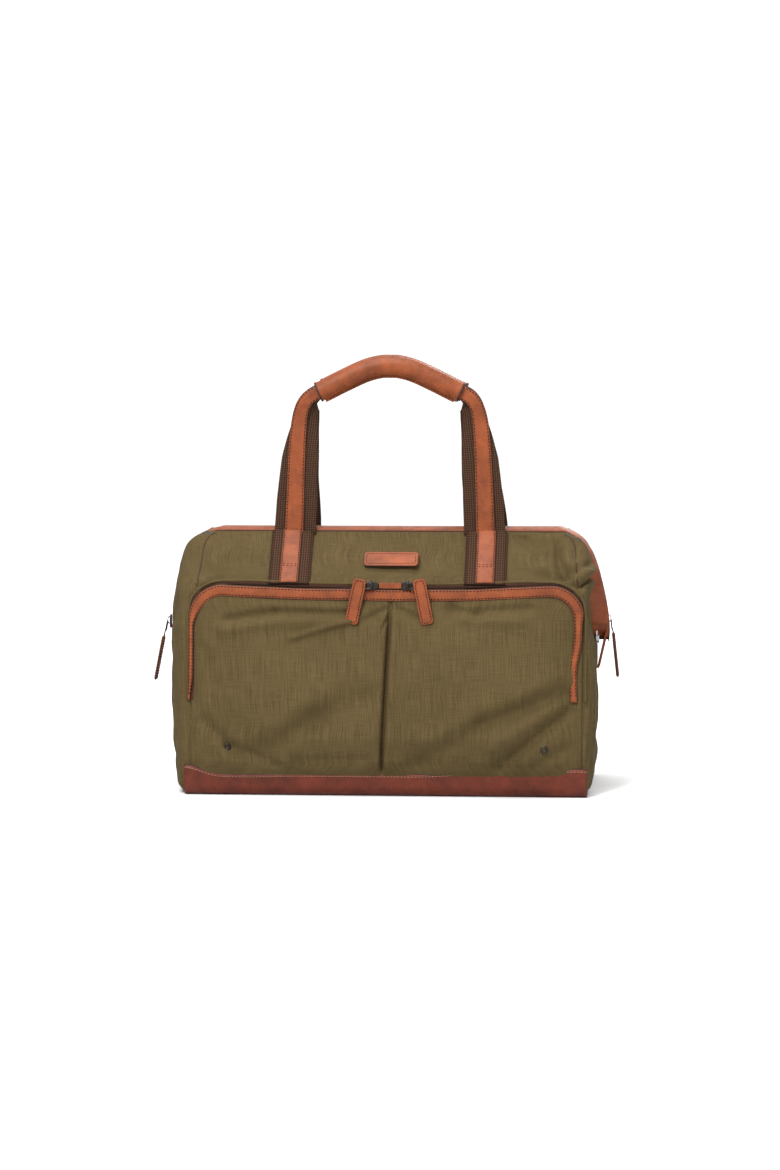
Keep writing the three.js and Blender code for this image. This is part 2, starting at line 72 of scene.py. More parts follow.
HANDLE_Y = 34.5
ZIP_X = 4.0  # the pocket zip's two sliders meet a little right of the middle


# ---- Small maths helpers ----
def smooth(a, b, x):
    """0 below a, 1 above b, and a smooth step between."""
    t = np.clip((np.asarray(x, float) - a) / (b - a), 0, 1)
    return t * t * (3 - 2 * t)


def unit(v):
    v = np.asarray(v, float)
    return v / np.maximum(np.linalg.norm(v, axis=-1, keepdims=True), 1e-9)


def bump(x, centre, width):
    return np.exp(-(((np.asarray(x, float) - centre) / width) ** 2))


def fold(x, z, start, end, width, depth):
    """A soft fold of the given depth along the line from start to end, fading out at both ends."""
    a, b = np.array(start, float), np.array(end, float)
    length = np.linalg.norm(b - a)
    along = (b - a) / length
    s = (x - a[0]) * along[0] + (z - a[1]) * along[1]
    off = (x - a[0]) * -along[1] + (z - a[1]) * along[0]
    fade = smooth(-width, width, s) * smooth(-width, width, length - s)
    return depth * fade * np.exp(-((off / width) ** 2))


def folds(x, z, creases, base=0.0):
    """The base with each crease of (start, end, width, depth) added in turn."""
    for start, end, width, depth in creases:
        base = base + fold(x, z, start, end, width, depth)
    return base


def noise_field(points, scale, seed):
    """Smooth noise from -1 to 1 at points given in millimetres."""
    shape = points.shape[:-1]
    flat = points.reshape(-1, 3) / scale + np.array([seed * 7.3, seed * 3.1, seed * 5.7])
    return np.array([noise.noise(Vector(p)) for p in flat]).reshape(shape)


def resample(points, count):
    """The polyline's points spread evenly along its length."""
    points = np.asarray(points, float)
    step = np.linalg.norm(np.diff(points, axis=0), axis=1)
    s = np.concatenate([[0], np.cumsum(step)])
    at = np.linspace(0, s[-1], count)
    return np.stack([np.interp(at, s, points[:, k]) for k in range(points.shape[1])], axis=1)


def run_through(points, per=6):
    """A smooth curve with the same number of points between each pair of its guides."""
    p = np.asarray(points, float)
    ends = np.vstack([2 * p[0] - p[1], p, 2 * p[-1] - p[-2]])
    t = np.linspace(0, 1, per, endpoint=False)[:, None]
    out = [0.5 * (2 * b + (c - a) * t + (2 * a - 5 * b + 4 * c - d) * t * t + (3 * b - a - 3 * c + d) * t ** 3)
           for a, b, c, d in zip(ends, ends[1:], ends[2:], ends[3:])]
    return np.vstack(out + [p[-1:]])


def spline(points, count):
    """A smooth curve through the points, spread evenly."""
    return resample(run_through(points, 24), count)


def rear_of(points):
    """The same points turned half way round the bag's upright axis."""
    return np.asarray(points, float) * np.array([-1, -1, 1])


def pocket_point(x, depth, z):
    """A point on the leaning pocket plane: depth is forward of the front panel, z is above the base."""
    x, depth, z = np.broadcast_arrays(np.asarray(x, float), depth, z)
    c, s = math.cos(LEAN), math.sin(LEAN)
    y = -depth * c + z * s - POCKET_FOOT_Y
    return np.stack([x, y, depth * s + z * c + POCKET_FOOT_Z], axis=-1)


# ---- Mesh builders ----
def make_mesh(name, points, faces, materials, face_material=None, uv=None, smooth_shade=True):
    mesh = bpy.data.meshes.new(name)
    mesh.from_pydata([tuple(p * MM) for p in np.asarray(points, float).reshape(-1, 3)], [], faces)
    for m in materials:
        mesh.materials.append(m)
    if face_material is not None:
        mesh.polygons.foreach_set("material_index", np.asarray(face_material, np.int32))
    if smooth_shade:
        mesh.polygons.foreach_set("use_smooth", np.ones(len(mesh.polygons), bool))
    if uv is not None:
        layer = mesh.uv_layers.new(name="UVMap")
        loops = np.empty(len(mesh.loops), np.int32)
        mesh.loops.foreach_get("vertex_index", loops)
        layer.data.foreach_set("uv", np.asarray(uv, np.float32)[loops].ravel())
    mesh.update()
    obj = bpy.data.objects.new(name, mesh)
    bpy.context.scene.collection.objects.link(obj)
    return obj


def grid_normals(p):
    du = np.gradient(p, axis=1)
    dv = np.gradient(p, axis=0)
    return unit(np.cross(du, dv))


def grid_uv(p):
    """Texture coordinates in metres: lengths along the rows and the columns."""
    across = np.linalg.norm(np.diff(p, axis=1), axis=2)
    u = np.concatenate([np.zeros((len(p), 1)), np.cumsum(across, axis=1)], axis=1)
    u -= u[:, -1:] / 2
    up = np.linalg.norm(np.diff(p, axis=0), axis=2).mean(axis=1)
    v = np.concatenate([[0], np.cumsum(up)])[:, None] + np.zeros_like(u)
    return np.stack([u, v], axis=-1) * MM


def thick_grid(name, front, thickness, materials, flip=False, rim_material=0):
    """A closed sheet: the given grid is its outer side, and the inner side lies behind it."""
    rows, cols = front.shape[:2]
    normal = grid_normals(front) * (-1 if flip else 1)
    back = front - normal * thickness
    uv = np.concatenate([grid_uv(front).reshape(-1, 2)] * 2)
    points = np.concatenate([front.reshape(-1, 3), back.reshape(-1, 3)])
    faces = []
    kinds = []
    half = rows * cols

    def quad(a, b, c, d, kind=0):
        faces.append((a, d, c, b) if flip else (a, b, c, d))
        kinds.append(kind)

    for r in range(rows - 1):
        for c in range(cols - 1):
            i = r * cols + c
            quad(i, i + 1, i + cols + 1, i + cols)
            quad(half + i, half + i + cols, half + i + cols + 1, half + i + 1)
    for c in range(cols - 1):
        top = (rows - 1) * cols + c
        quad(c, half + c, half + c + 1, c + 1, rim_material)
        quad(top, top + 1, half + top + 1, half + top, rim_material)
    for r in range(rows - 1):
        i = r * cols
        j = i + cols - 1
        quad(i, i + cols, half + i + cols, half + i, rim_material)
        quad(j, half + j, half + j + cols, j + cols, rim_material)
    obj = make_mesh(name, points, faces, materials, kinds, uv)
    fix_normals(obj)
    return obj


def band_faces(rings, sides, closed):
    """The faces between rings of points, each ring closed on itself."""
    faces = []
    for i in range(rings if closed else rings - 1):
        for j in range(sides):
            a, b = i * sides + j, i * sides + (j + 1) % sides
            c, d = ((i + 1) % rings) * sides + (j + 1) % sides, ((i + 1) % rings) * sides + j
            faces.append((a, b, c, d))
    return faces


def sweep(name, path, across, up, profile, materials, scale=None, closed=False):
    """Sweeps a closed profile of (across, up, material) points along a path."""
    path = np.asarray(path, float)
    across = unit(np.broadcast_to(across, path.shape))
    up = unit(np.broadcast_to(up, path.shape))
    shape = np.array([(a, b) for a, b, _ in profile], float)
    kinds_of = [m for _, _, m in profile]
    scale = np.ones((len(path), 2)) if scale is None else np.asarray(scale, float)
    n, k = len(path), len(shape)
    rings = (path[:, None] + across[:, None] * (shape[:, 0][None, :] * scale[:, :1])[..., None]
             + up[:, None] * (shape[:, 1][None, :] * scale[:, 1:])[..., None])
    run = np.concatenate([[0], np.cumsum(np.linalg.norm(np.diff(path, axis=0), axis=1))])
    round_ = np.concatenate([[0], np.cumsum(np.linalg.norm(np.diff(shape, axis=0), axis=1))])
    uv = np.stack(np.meshgrid(round_, run), axis=-1).reshape(-1, 2) * MM
    faces = band_faces(n, k, closed)
    kinds = kinds_of * (len(faces) // k)
    if not closed:
        faces.append(tuple(reversed(range(k))))
        faces.append(tuple(range((n - 1) * k, n * k)))
        kinds += [kinds_of[-1], kinds_of[-1]]
    obj = make_mesh(name, rings.reshape(-1, 3), faces, materials, kinds, uv)
    fix_normals(obj)
    return obj


def fix_normals(obj, merge=0.0):
    """Turns every face outwards, after joining points that lie closer than merge, in metres."""
    bm = bmesh.new()
    bm.from_mesh(obj.data)
    if merge:
        bmesh.ops.remove_doubles(bm, verts=bm.verts, dist=merge)
    bmesh.ops.recalc_face_normals(bm, faces=bm.faces)
    bm.to_mesh(obj.data)
    bm.free()


def flat_profile(width, thickness, edge=0.8, crown=0.0):
    """A strap's section: flat faces (material 0) and rounded painted edges (material 1)."""
    w, t = width / 2, thickness
    e = min(edge, t / 2)
    points = [(-w + e, t, 0), (-w / 2, t + crown, 0), (0, t + crown * 1.3, 0), (w / 2, t + crown, 0)]
    points += [(w - e, t, 1), (w - 0.25 * e, t - 0.3 * e, 1), (w, t / 2, 1), (w - 0.25 * e, 0.3 * e, 1)]
    points += [(w - e, 0, 0), (-w + e, 0, 1)]
    points += [(-w + 0.25 * e, 0.3 * e, 1), (-w, t / 2, 1), (-w + 0.25 * e, t - 0.3 * e, 1)]
    return points


def tube_profile(radius, sides=16, squeeze=1.0):
    angles = np.linspace(0, 2 * math.pi, sides, endpoint=False)
    return [(radius * math.cos(a), radius * squeeze * math.sin(a), 0) for a in angles]


def stitches(name, paths, ups, material, pitch=4.0, length=2.9, radius=0.38):
    """Rows of thread stitches lying on a surface. paths are polylines and ups their surface normals."""
    points, faces = [], []
    sides = 6
    for path, up in zip(paths, ups):
        path = np.asarray(path, float)
        total = np.linalg.norm(np.diff(path, axis=0), axis=1).sum()
        count = max(2, int(total / pitch))
        dense = resample(path, count * 2 + 1)
        normals = np.broadcast_to(up, path.shape)
        normals = unit(resample(normals, count * 2 + 1)) if len(normals) > 1 else normals
        for i in range(count):
            middle = dense[2 * i + 1]
            along = unit(dense[2 * i + 2] - dense[2 * i])
            n = unit(normals[2 * i + 1])
            side = np.cross(along, n)
            base = len(points)
            for s, r in ((-0.5, 0.0), (-0.36, 0.85), (0.36, 0.85), (0.5, 0.0)):
                lift = 0.25 * radius if abs(s) < 0.4 else -0.7 * radius
                centre = middle + along * s * length + n * lift
                if r == 0:
                    points.append(centre)
                else:
                    for k in range(sides):
                        a = 2 * math.pi * k / sides
                        points.append(centre + radius * r * (side * math.cos(a) + n * math.sin(a)))
            ring1, ring2, tip = base + 1, base + 1 + sides, base + 1 + 2 * sides
            for k in range(sides):
                m = (k + 1) % sides
                faces.append((base, ring1 + m, ring1 + k))
                faces.append((ring1 + k, ring1 + m, ring2 + m, ring2 + k))
                faces.append((ring2 + k, ring2 + m, tip))
    return make_mesh(name, points, faces, [material])


def outline_plate(name, loops, thickness, bevel, material, place):
    """A flat plate with rounded edges. loops are closed outlines, the first outer and the rest holes."""
    curve = bpy.data.curves.new(name, "CURVE")
    curve.dimensions = "2D"
    curve.fill_mode = "BOTH"
    curve.extrude = (thickness / 2 - bevel) * MM
    curve.bevel_depth = bevel * MM
    curve.bevel_resolution = 2
    curve.offset = -bevel * MM
    for loop in loops:
        poly = curve.splines.new("POLY")
        poly.points.add(len(loop) - 1)
        for point, (x, y) in zip(poly.points, loop):
            point.co = (x * MM, y * MM, 0, 1)
        poly.use_cyclic_u = True
    temp = bpy.data.objects.new(name, curve)
    bpy.context.scene.collection.objects.link(temp)
    mesh = bpy.data.meshes.new_from_object(temp.evaluated_get(bpy.context.evaluated_depsgraph_get()))
    bpy.data.objects.remove(temp)
    co = np.empty(len(mesh.vertices) * 3, np.float32)
    mesh.vertices.foreach_get("co", co)
    local = co.reshape(-1, 3) / MM
    mesh.vertices.foreach_set("co", (place(local) * MM).astype(np.float32).ravel())
    mesh.materials.clear()
    mesh.materials.append(material)
    mesh.polygons.foreach_set("use_smooth", np.zeros(len(mesh.polygons), bool))
    obj = bpy.data.objects.new(name, mesh)
    bpy.context.scene.collection.objects.link(obj)
    fix_normals(obj, merge=1e-5)
    return obj


def circle(radius, x=0.0, y=0.0, steps=24):
    angles = np.linspace(0, 2 * math.pi, steps, endpoint=False)
    return [(x + radius * math.cos(a), y + radius * math.sin(a)) for a in angles]


def rounded_box(width, height, radius, x=0.0, y=0.0, steps=5):
    points = []
    for sx, sy, quarter in ((1, 1, 0), (-1, 1, 1), (-1, -1, 2), (1, -1, 3)):
        for i in range(steps + 1):
            a = (quarter + i / steps) * math.pi / 2
            points.append((x + sx * (width / 2 - radius) + radius * math.cos(a),
                           y + sy * (height / 2 - radius) + radius * math.sin(a)))
    return points


# ---- Materials ----
class Nodes:
    """Short names for building one material's node tree."""

    def __init__(self, name):
        self.material = bpy.data.materials.new(name)
        self.material.use_nodes = True
        self.tree = self.material.node_tree
        self.tree.nodes.clear()
        self.out = self.add("ShaderNodeOutputMaterial")
        self.shader = self.add("ShaderNodeBsdfPrincipled")
        self.link(self.shader.outputs["BSDF"], self.out.inputs["Surface"])

    def add(self, kind, **values):
        node = self.tree.nodes.new(kind)
        for key, value in values.items():
            setattr(node, key, value)
        return node

    def link(self, a, b):
        self.tree.links.new(a, b)

    def coords(self, source="UV", scale=(1, 1, 1)):
        texture = self.add("ShaderNodeTexCoord")
        mapping = self.add("ShaderNodeMapping")
        mapping.inputs["Scale"].default_value = scale
        self.link(texture.outputs[source], mapping.inputs["Vector"])
        return mapping.outputs["Vector"]

    def noise(self, vector, scale, detail=3.0, rough=0.55):
        node = self.add("ShaderNodeTexNoise")
        node.inputs["Scale"].default_value = scale
        node.inputs["Detail"].default_value = detail
        node.inputs["Roughness"].default_value = rough
        self.link(vector, node.inputs["Vector"])
        return node.outputs["Fac"]

    def wave(self, vector, scale, direction):
        node = self.add("ShaderNodeTexWave", bands_direction=direction, wave_profile="SIN")
        node.inputs["Scale"].default_value = scale
        node.inputs["Distortion"].default_value = 0.0
        self.link(vector, node.inputs["Vector"])
        return node.outputs["Fac"]

    def math(self, operation, a, b=0.5, clamp=False):
        node = self.add("ShaderNodeMath", operation=operation, use_clamp=clamp)
        for socket, value in zip(node.inputs, (a, b)):
            if isinstance(value, (int, float)):
                socket.default_value = value
            else:
                self.link(value, socket)
        return node.outputs[0]

    def spread(self, value, low, high, to_low=0.0, to_high=1.0):
        node = self.add("ShaderNodeMapRange")
        self.link(value, node.inputs["Value"])
        for key, number in (("From Min", low), ("From Max", high), ("To Min", to_low), ("To Max", to_high)):
            node.inputs[key].default_value = number
        return node.outputs["Result"]

    def mix(self, factor, a, b, kind="MIX"):
        node = self.add("ShaderNodeMix", data_type="RGBA", blend_type=kind)
        if isinstance(factor, (int, float)):
            node.inputs["Factor"].default_value = factor
        else:
            self.link(factor, node.inputs["Factor"])
        for key, value in (("A", a), ("B", b)):
            socket = [s for s in node.inputs if s.name == key and s.type == "RGBA"][0]
            if isinstance(value, tuple):
                socket.default_value = (*value, 1)
            else:
                self.link(value, socket)
        return [s for s in node.outputs if s.type == "RGBA"][0]

    def bump(self, height, distance, strength=1.0, below=None):
        node = self.add("ShaderNodeBump")
        node.inputs["Strength"].default_value = strength
        node.inputs["Distance"].default_value = distance
        self.link(height, node.inputs["Height"])
        if below is not None:
            self.link(below, node.inputs["Normal"])
        self.link(node.outputs["Normal"], self.shader.inputs["Normal"])
        return node.outputs["Normal"]

    def colour(self, socket):
        self.link(socket, self.shader.inputs["Base Color"])

    def roughness(self, socket):
        self.link(socket, self.shader.inputs["Roughness"])

    def set(self, **values):
        for key, value in values.items():
            self.shader.inputs[key.replace("_", " ")].default_value = value


def canvas_material(name, dark, light, warp=900.0, weft=1000.0):
    """Plain-woven canvas: threads both ways, uneven slubs, and a slow drift of tone."""
    n = Nodes(name)
    uv = n.coords("UV")
    threads_x = n.wave(uv, warp / 2, "X")
    threads_y = n.wave(uv, weft / 2, "Y")
    weave = n.math("MULTIPLY", threads_x, threads_y)
    slub_v = n.noise(n.coords("UV", (900, 26, 1)), 1.0, 2.0)
    slub_h = n.noise(n.coords("UV", (40, 1000, 1)), 1.0, 2.0)
    grain = n.noise(uv, 1500.0, 2.0)
    drift = n.noise(n.coords("Object"), 9.0, 3.0)
    tone = n.math("ADD", n.math("MULTIPLY", slub_v, 0.52), n.math("MULTIPLY", slub_h, 0.26))
    tone = n.math("ADD", tone, n.math("MULTIPLY", grain, 0.26))
    fibre = n.mix(n.spread(tone, 0.36, 0.68), dark, light)
    drifted = n.mix(n.spread(drift, 0.35, 0.7, 0.0, 0.22), fibre, tuple(c * 0.72 for c in dark))
    n.colour(n.mix(n.math("MULTIPLY", weave, 0.18), drifted, tuple(c * 0.45 for c in dark)))
    n.roughness(n.spread(tone, 0.3, 0.7, 0.92, 0.78))
    height = n.math("ADD", n.math("MULTIPLY", weave, 0.45), tone)
    n.bump(height, 0.00045, 0.75)
    n.set(Specular_IOR_Level=0.06)
    return n.material


def leather_material(name, dark, light, grain=520.0, rough=0.5, depth=0.00022):
    """Full-grain leather: pebbled pores, fine creases, and darker and lighter patches."""
    n = Nodes(name)
    space = n.coords("Object")
    cells = n.add("ShaderNodeTexVoronoi", feature="DISTANCE_TO_EDGE")
    cells.inputs["Scale"].default_value = grain
    n.link(space, cells.inputs["Vector"])
    pore = n.spread(cells.outputs["Distance"], 0.0, 0.22)
    creases = n.noise(space, grain * 0.28, 5.0, 0.65)
    patches = n.noise(space, 26.0, 4.0, 0.6)
    blotch = n.noise(space, 90.0, 3.0, 0.6)
    tone = n.math("ADD", n.math("MULTIPLY", patches, 0.6), n.math("MULTIPLY", blotch, 0.4))
    base = n.mix(n.spread(tone, 0.36, 0.64), dark, light)
    n.colour(n.mix(n.spread(pore, 0.0, 0.5, 0.34, 0.0), base, tuple(c * 0.45 for c in dark)))
    n.roughness(n.spread(creases, 0.3, 0.75, rough - 0.08, rough + 0.14))
    height = n.math("ADD", n.math("MULTIPLY", pore, 0.5), creases)
    n.bump(height, depth, 0.8)
    n.set(Specular_IOR_Level=0.2, Coat_Weight=0.02, Coat_Roughness=0.3)
    return n.material


def edge_paint_material(name, tint):
    n = Nodes(name)
    wear = n.noise(n.coords("Object"), 260.0, 4.0)
    n.colour(n.mix(n.spread(wear, 0.4, 0.7), tint, tuple(c * 1.8 for c in tint)))
    n.roughness(n.spread(wear, 0.3, 0.7, 0.5, 0.7))
    n.bump(wear, 0.0001, 0.5)
    n.set(Specular_IOR_Level=0.12)
    return n.material


def webbing_material(name, dark, light, rib=430.0):
    """Cotton webbing: thick yarns across the strap and fine ones along it."""
    n = Nodes(name)
    uv = n.coords("UV")
    ribs = n.wave(uv, rib / 2, "X")
    picks = n.wave(uv, rib * 0.52, "Y")
    fuzz = n.noise(uv, 900.0, 3.0)
    yarn = n.math("ADD", n.math("MULTIPLY", ribs, 0.5), n.math("MULTIPLY", picks, 0.5))
    tone = n.math("ADD", n.math("MULTIPLY", yarn, 0.7), n.math("MULTIPLY", fuzz, 0.4))
    n.colour(n.mix(n.spread(tone, 0.25, 0.95), dark, light))
    n.roughness(n.spread(fuzz, 0.3, 0.7, 0.8, 0.95))
    n.bump(tone, 0.0008, 0.9)
    n.set(Specular_IOR_Level=0.08)
    return n.material


def thread_material(name, tint):
    n = Nodes(name)
    twist = n.wave(n.coords("Object"), 900.0, "DIAGONAL")
    n.colour(n.mix(n.math("MULTIPLY", twist, 0.5), tint, tuple(c * 0.6 for c in tint)))
    n.bump(twist, 0.0001, 0.6)
    n.set(Roughness=0.75, Specular_IOR_Level=0.1)
    return n.material


def metal_material(name, tint, rough=0.32):
    """Plated metal with fine scuffs and brighter, worn high spots."""
    n = Nodes(name)
    scuffs = n.noise(n.coords("Object", (1, 1, 4)), 420.0, 4.0)
    patches = n.noise(n.coords("Object"), 60.0, 3.0)
    n.colour(n.mix(n.spread(patches, 0.45, 0.75, 0.0, 0.6), tint, tuple(min(1, c * 2.0) for c in tint)))
    n.roughness(n.spread(scuffs, 0.3, 0.7, rough - 0.06, rough + 0.14))
    n.bump(scuffs, 0.00006, 0.5)
    n.set(Metallic=1.0)
    return n.material


def board_material(name, tint):
    n = Nodes(name)
    fleck = n.noise(n.coords("Object"), 700.0, 3.0)
    n.colour(n.mix(n.spread(fleck, 0.4, 0.65), tint, tuple(c * 2.2 for c in tint)))
    n.roughness(n.spread(fleck, 0.3, 0.7, 0.6, 0.8))
    n.bump(fleck, 0.0001, 0.6)
    return n.material


def floor_material(name):
    n = Nodes(name)
    paper = n.noise(n.coords("Object"), 140.0, 3.0)
    reach = n.add("ShaderNodeVectorMath", operation="LENGTH")
    n.link(n.coords("Object"), reach.inputs[0])
    # The paper is painted darker near the bag (0.66 within half a metre) and near white from 3.2 m out: painted shade
    # that evens out the lamps' brighter pool round the bag.
    near = n.mix(n.spread(paper, 0.3, 0.7), (0.66, 0.66, 0.66), (0.68, 0.68, 0.68))
    n.colour(n.mix(n.spread(reach.outputs["Value"], 0.5, 3.2), near, (0.985, 0.985, 0.985)))
    n.bump(paper, 0.0001, 0.2)
    n.set(Roughness=0.9, Specular_IOR_Level=0.1)
    return n.material


CANVAS = canvas_material("olive_canvas", (0.046, 0.0310, 0.0115), (0.096, 0.0690, 0.0300))
CANVAS_TAPE = webbing_material("zip_tape", (0.035, 0.014, 0.010), (0.115, 0.050, 0.034), 900.0)
LINING = canvas_material("lining_cotton", (0.05, 0.045, 0.036), (0.11, 0.10, 0.08), 1400, 1400)
LEATHER = leather_material("tan_leather", (0.108, 0.0235, 0.0050), (0.215, 0.049, 0.0115))
# The base leather is a darker copy of the tan leather: partly its own darker tone and partly painted shade, since its
# colour takes in the shade that falls on the low base.
BASE_LEATHER = leather_material("base_leather", (0.056, 0.0085, 0.0030), (0.108, 0.018, 0.0065), 480.0, 0.44)
EDGE = edge_paint_material("edge_paint", (0.030, 0.012, 0.008))
WEBBING = webbing_material("handle_webbing", (0.008, 0.0036, 0.0020), (0.074, 0.037, 0.021), 232.0)
THREAD_DARK = thread_material("dark_thread", (0.028, 0.009, 0.005))
THREAD_PALE = thread_material("pale_thread", (0.30, 0.19, 0.12))
GUNMETAL = metal_material("gunmetal", (0.030, 0.026, 0.023), 0.36)
TEETH = metal_material("zip_teeth", (0.050, 0.030, 0.022), 0.4)
STEEL = metal_material("spring_steel", (0.45, 0.45, 0.46), 0.3)
BOARD = board_material("base_board", (0.02, 0.02, 0.02))


def label_piece(obj, replaced):
    if replaced:
        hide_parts(*replaced)
    return obj


def finish_piece(obj, body, slot, *replaced):
    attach(obj, body)
    return label_piece(obj, replaced)


def blend_mouth(obj, side, slot, *replaced, firm=False):
    """Bakes the piece's placement into its mesh and hides the CAD parts it replaces. firm is not used."""
    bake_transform(obj)
    return label_piece(obj, replaced)


# ---- Body cloth ----
# Half-widths of the soft body at each height. The right end is crumpled and the left end is full.
EDGE_Z = [2.8, 9, 26, 60, 105, 155, 180, 200, 219, 233, 247, 262, 276, 287, 295, 302.4]
RIGHT_X = [230, 238, 240.5, 242, 243, 242.5, 241, 236, 233, 235, 241.5, 238.5, 235, 231, 223.5, 208]
LEFT_X = [239, 246.5, 250, 252, 254, 255, 255, 254.5, 253.5, 252, 251, 248.5, 244.5, 239.5, 232, 216]
DEPTH_Z = [2.8, 9, 26, 60, 105, 155, 200, 234, 247, 262, 276, 287, 295, 302.4]
HALF_Y = [101, 107, 108.8, 106, 102.1, 97.7, 93.8, 90.9, 86.0, 71.2, 57.0, 46.2, 38.2, 31.0]
# The zip ridge at each end stands proud of the cloth like a beak.
RIDGE_Z = [172, 184, 195, 208, 219, 231, 243, 255, 267, 276, 284, 290, 296, 301, 304.4, 305.6]
RIGHT_RIDGE = [256, 257, 256.5, 255, 253, 250.4, 247.5, 244.4, 240.5, 237, 232, 228, 222, 214, 206, 190]
LEFT_RIDGE = [261, 261, 259.5, 255, 250.5, 246, 242, 238, 234, 231, 228, 225, 220, 213.5, 206, 190]
DENSE_Z = np.arange(2.0, 306.0, 0.5)


def softened(zs, values, reach=9):
    """A profile through the values whose corners are rounded over the given reach."""
    line = np.interp(DENSE_Z, zs, values)
    padded = np.concatenate([
        2 * line[0] - line[reach:0:-1], line, 2 * line[-1] - line[-2 : -reach - 2 : -1]])
    kernel = np.hanning(2 * reach + 3)[1:-1]
    return np.convolve(padded, kernel / kernel.sum(), "valid")


WIDE = {1: softened(EDGE_Z, RIGHT_X, 7), -1: softened(EDGE_Z, LEFT_X, 12)}
DEEP = softened(DEPTH_Z, HALF_Y, 14)
RIDGE = {1: softened(RIDGE_Z, RIGHT_RIDGE, 8), -1: softened(RIDGE_Z, LEFT_RIDGE, 8)}


def wide_at(z, sign):
    return np.interp(z, DENSE_Z, WIDE[sign])


def deep_at(z):
    return np.interp(z, DENSE_Z, DEEP)


def ridge_at(z, sign):
    return np.interp(z, DENSE_Z, RIDGE[sign])


def seam_y(z):
    """How far forward of the zip the cloth's edge lies at each height."""
    upper = 14.5 + (np.asarray(z, float) - FACING_Z) / (TOP_Z - FACING_Z) * 16.1
    return -np.where(z < FACING_Z, 14.5 * smooth(PIVOT_Z - 2, FACING_Z + 4, z), upper)


def seam_x(z, sign):
    inset = 18 - 12 * smooth(245, 285, z)
    open_part = np.minimum(wide_at(z, sign) - 3, ridge_at(z, sign) - inset)
    closed = wide_at(z, sign) - 3.5
    return closed + (open_part - closed) * smooth(PIVOT_Z - 2, FACING_Z + 4, z)


def half_side(z, sign, count):
    """One end's outline at one height, from the end seam round the corner to the front's middle."""
    wide, deep = float(wide_at(z, sign)), float(deep_at(z))
    flat = np.interp(z, [0, 20, 236, 250, 290, TOP_Z], [231, 229.5, 227.5, 220, 217, 205])
    flat = min(flat, wide - 3)
    corner = np.interp(z, [0, 12, 40, 235, 262, 292, TOP_Z], [30, 44, 58, 52, 40, 22, 5])
    x0, y0 = float(seam_x(z, sign)), float(seam_y(z))
    y1 = min(-deep + corner, y0 - 0.5)
    t = np.linspace(0, 1, 40)
    end = np.stack([x0 + (wide - x0) * (1 - (1 - t) ** 2.4), y0 + (y1 - y0) * t], axis=1)
    a = np.linspace(0, math.pi / 2, 50)[1:]
    bend = np.stack([flat + (wide - flat) * np.cos(a) ** 0.86, y1 - (y1 + deep) * np.sin(a) ** 0.86], axis=1)
    front = np.stack([np.linspace(flat, 0, 120)[1:], np.full(119, -deep)], axis=1)
    line = np.concatenate([end, bend, front])
    s = np.concatenate([[0], np.cumsum(np.linalg.norm(np.diff(line, axis=0), axis=1))])
    around = np.interp(np.linspace(0, 1, count), [0, 0.42, 1], [0, s[88], s[-1]])
    return np.stack([np.interp(around, s, line[:, 0]), np.interp(around, s, line[:, 1])], axis=1)


# Folds and creases of the cloth in mm, each (start, end, width, depth). Ends: (|y|, z). Top, rear, corner: (x, z).
LEFT_END_FOLDS = [
    ((20, 150), (78, 228), 8, -3.4), ((40, 60), (96, 18), 9, -2.6),
    ((88, 60), (84, 190), 6, -2.6), ((8, 70), (22, 176), 9, 2.2),
]
RIGHT_END_FOLDS = [
    ((16, 170), (82, 246), 8, -5.0), ((10, 120), (90, 196), 9, -3.2),
    ((50, 70), (98, 24), 9, -3.0), ((86, 40), (80, 215), 6, -2.6),
]
TOP_FOLDS = [
    ((150, 300), (196, 268), 6, -3.2), ((182, 300), (214, 262), 5, 3.4),
    ((196, 292), (205, 246), 5, -4.6), ((204, 254), (238, 266), 5, -5.0),
    ((214, 270), (240, 250), 5, 3.6), ((150, 262), (206, 248), 6, -2.0),
    ((-146, 262), (-196, 288), 8, -2.6), ((-176, 300), (-206, 262), 7, 2.2),
    ((30, 256), (76, 296), 8, -1.8), ((-74, 297), (-44, 258), 8, 1.4),
    ((52, 250), (86, 286), 6, 1.4),
]
REAR_FOLDS = [
    ((-206, 214), (-60, 150), 12, -3.6), ((210, 206), (80, 128), 12, -3.4),
    ((-190, 196), (-70, 128), 10, 2.6), ((196, 182), (100, 110), 10, 2.2),
    ((-160, 52), (-10, 90), 12, -3.0), ((40, 60), (170, 96), 11, -2.8),
    ((-30, 234), (50, 170), 11, -2.2), ((-110, 238), (-60, 196), 8, -1.8),
]
FRONT_CORNER_FOLDS = [
    ((252, 259), (212, 236), 4.0, -11.0), ((250, 268), (204, 249), 6, 5.5),
    ((198, 286), (214, 242), 3.6, -7.0), ((186, 284), (192, 246), 5, 4.0),
    ((220, 296), (214, 262), 3.2, -3.0), ((176, 262), (204, 244), 4, -4.0),
    ((-214, 262), (-186, 240), 7, -3.0), ((-236, 262), (-206, 246), 7, 2.4),
]


def end_folds(p):
    """How the soft ends swell and crease: upright flutes below, creases fanning from the top corners."""
    x, y, z = p[..., 0], np.abs(p[..., 1]), p[..., 2]
    on_end = smooth(222, 240, np.abs(x)) * smooth(8, 40, z)
    low = 1 - smooth(205, 240, z)
    left = folds(y, z, LEFT_END_FOLDS, 1.6 * np.sin(y / 9.5 + 0.8 + z / 90.0) * low)
    right = folds(y, z, RIGHT_END_FOLDS, 2.2 * np.sin(y / 11.0 + 2.2 - z / 60.0) * low)
    return on_end * np.where(x > 0, right, left)


def top_folds(p, side):
    """The sloping top: it hangs a little between the handles and crumples at its corners."""
    x, z = p[..., 0] * (1 if side == "front" else -1), p[..., 2]
    on_top = smooth(243, 262, z) * (1 - 0.7 * smooth(288, 301, z))
    sag = -2.4 * (bump(x, 8, 50) + 0.9 * bump(x, -170, 30) + 0.9 * bump(x, 176, 26))
    return on_top * sag + 1.4 * smooth(244, 256, z) * folds(x, z, TOP_FOLDS)


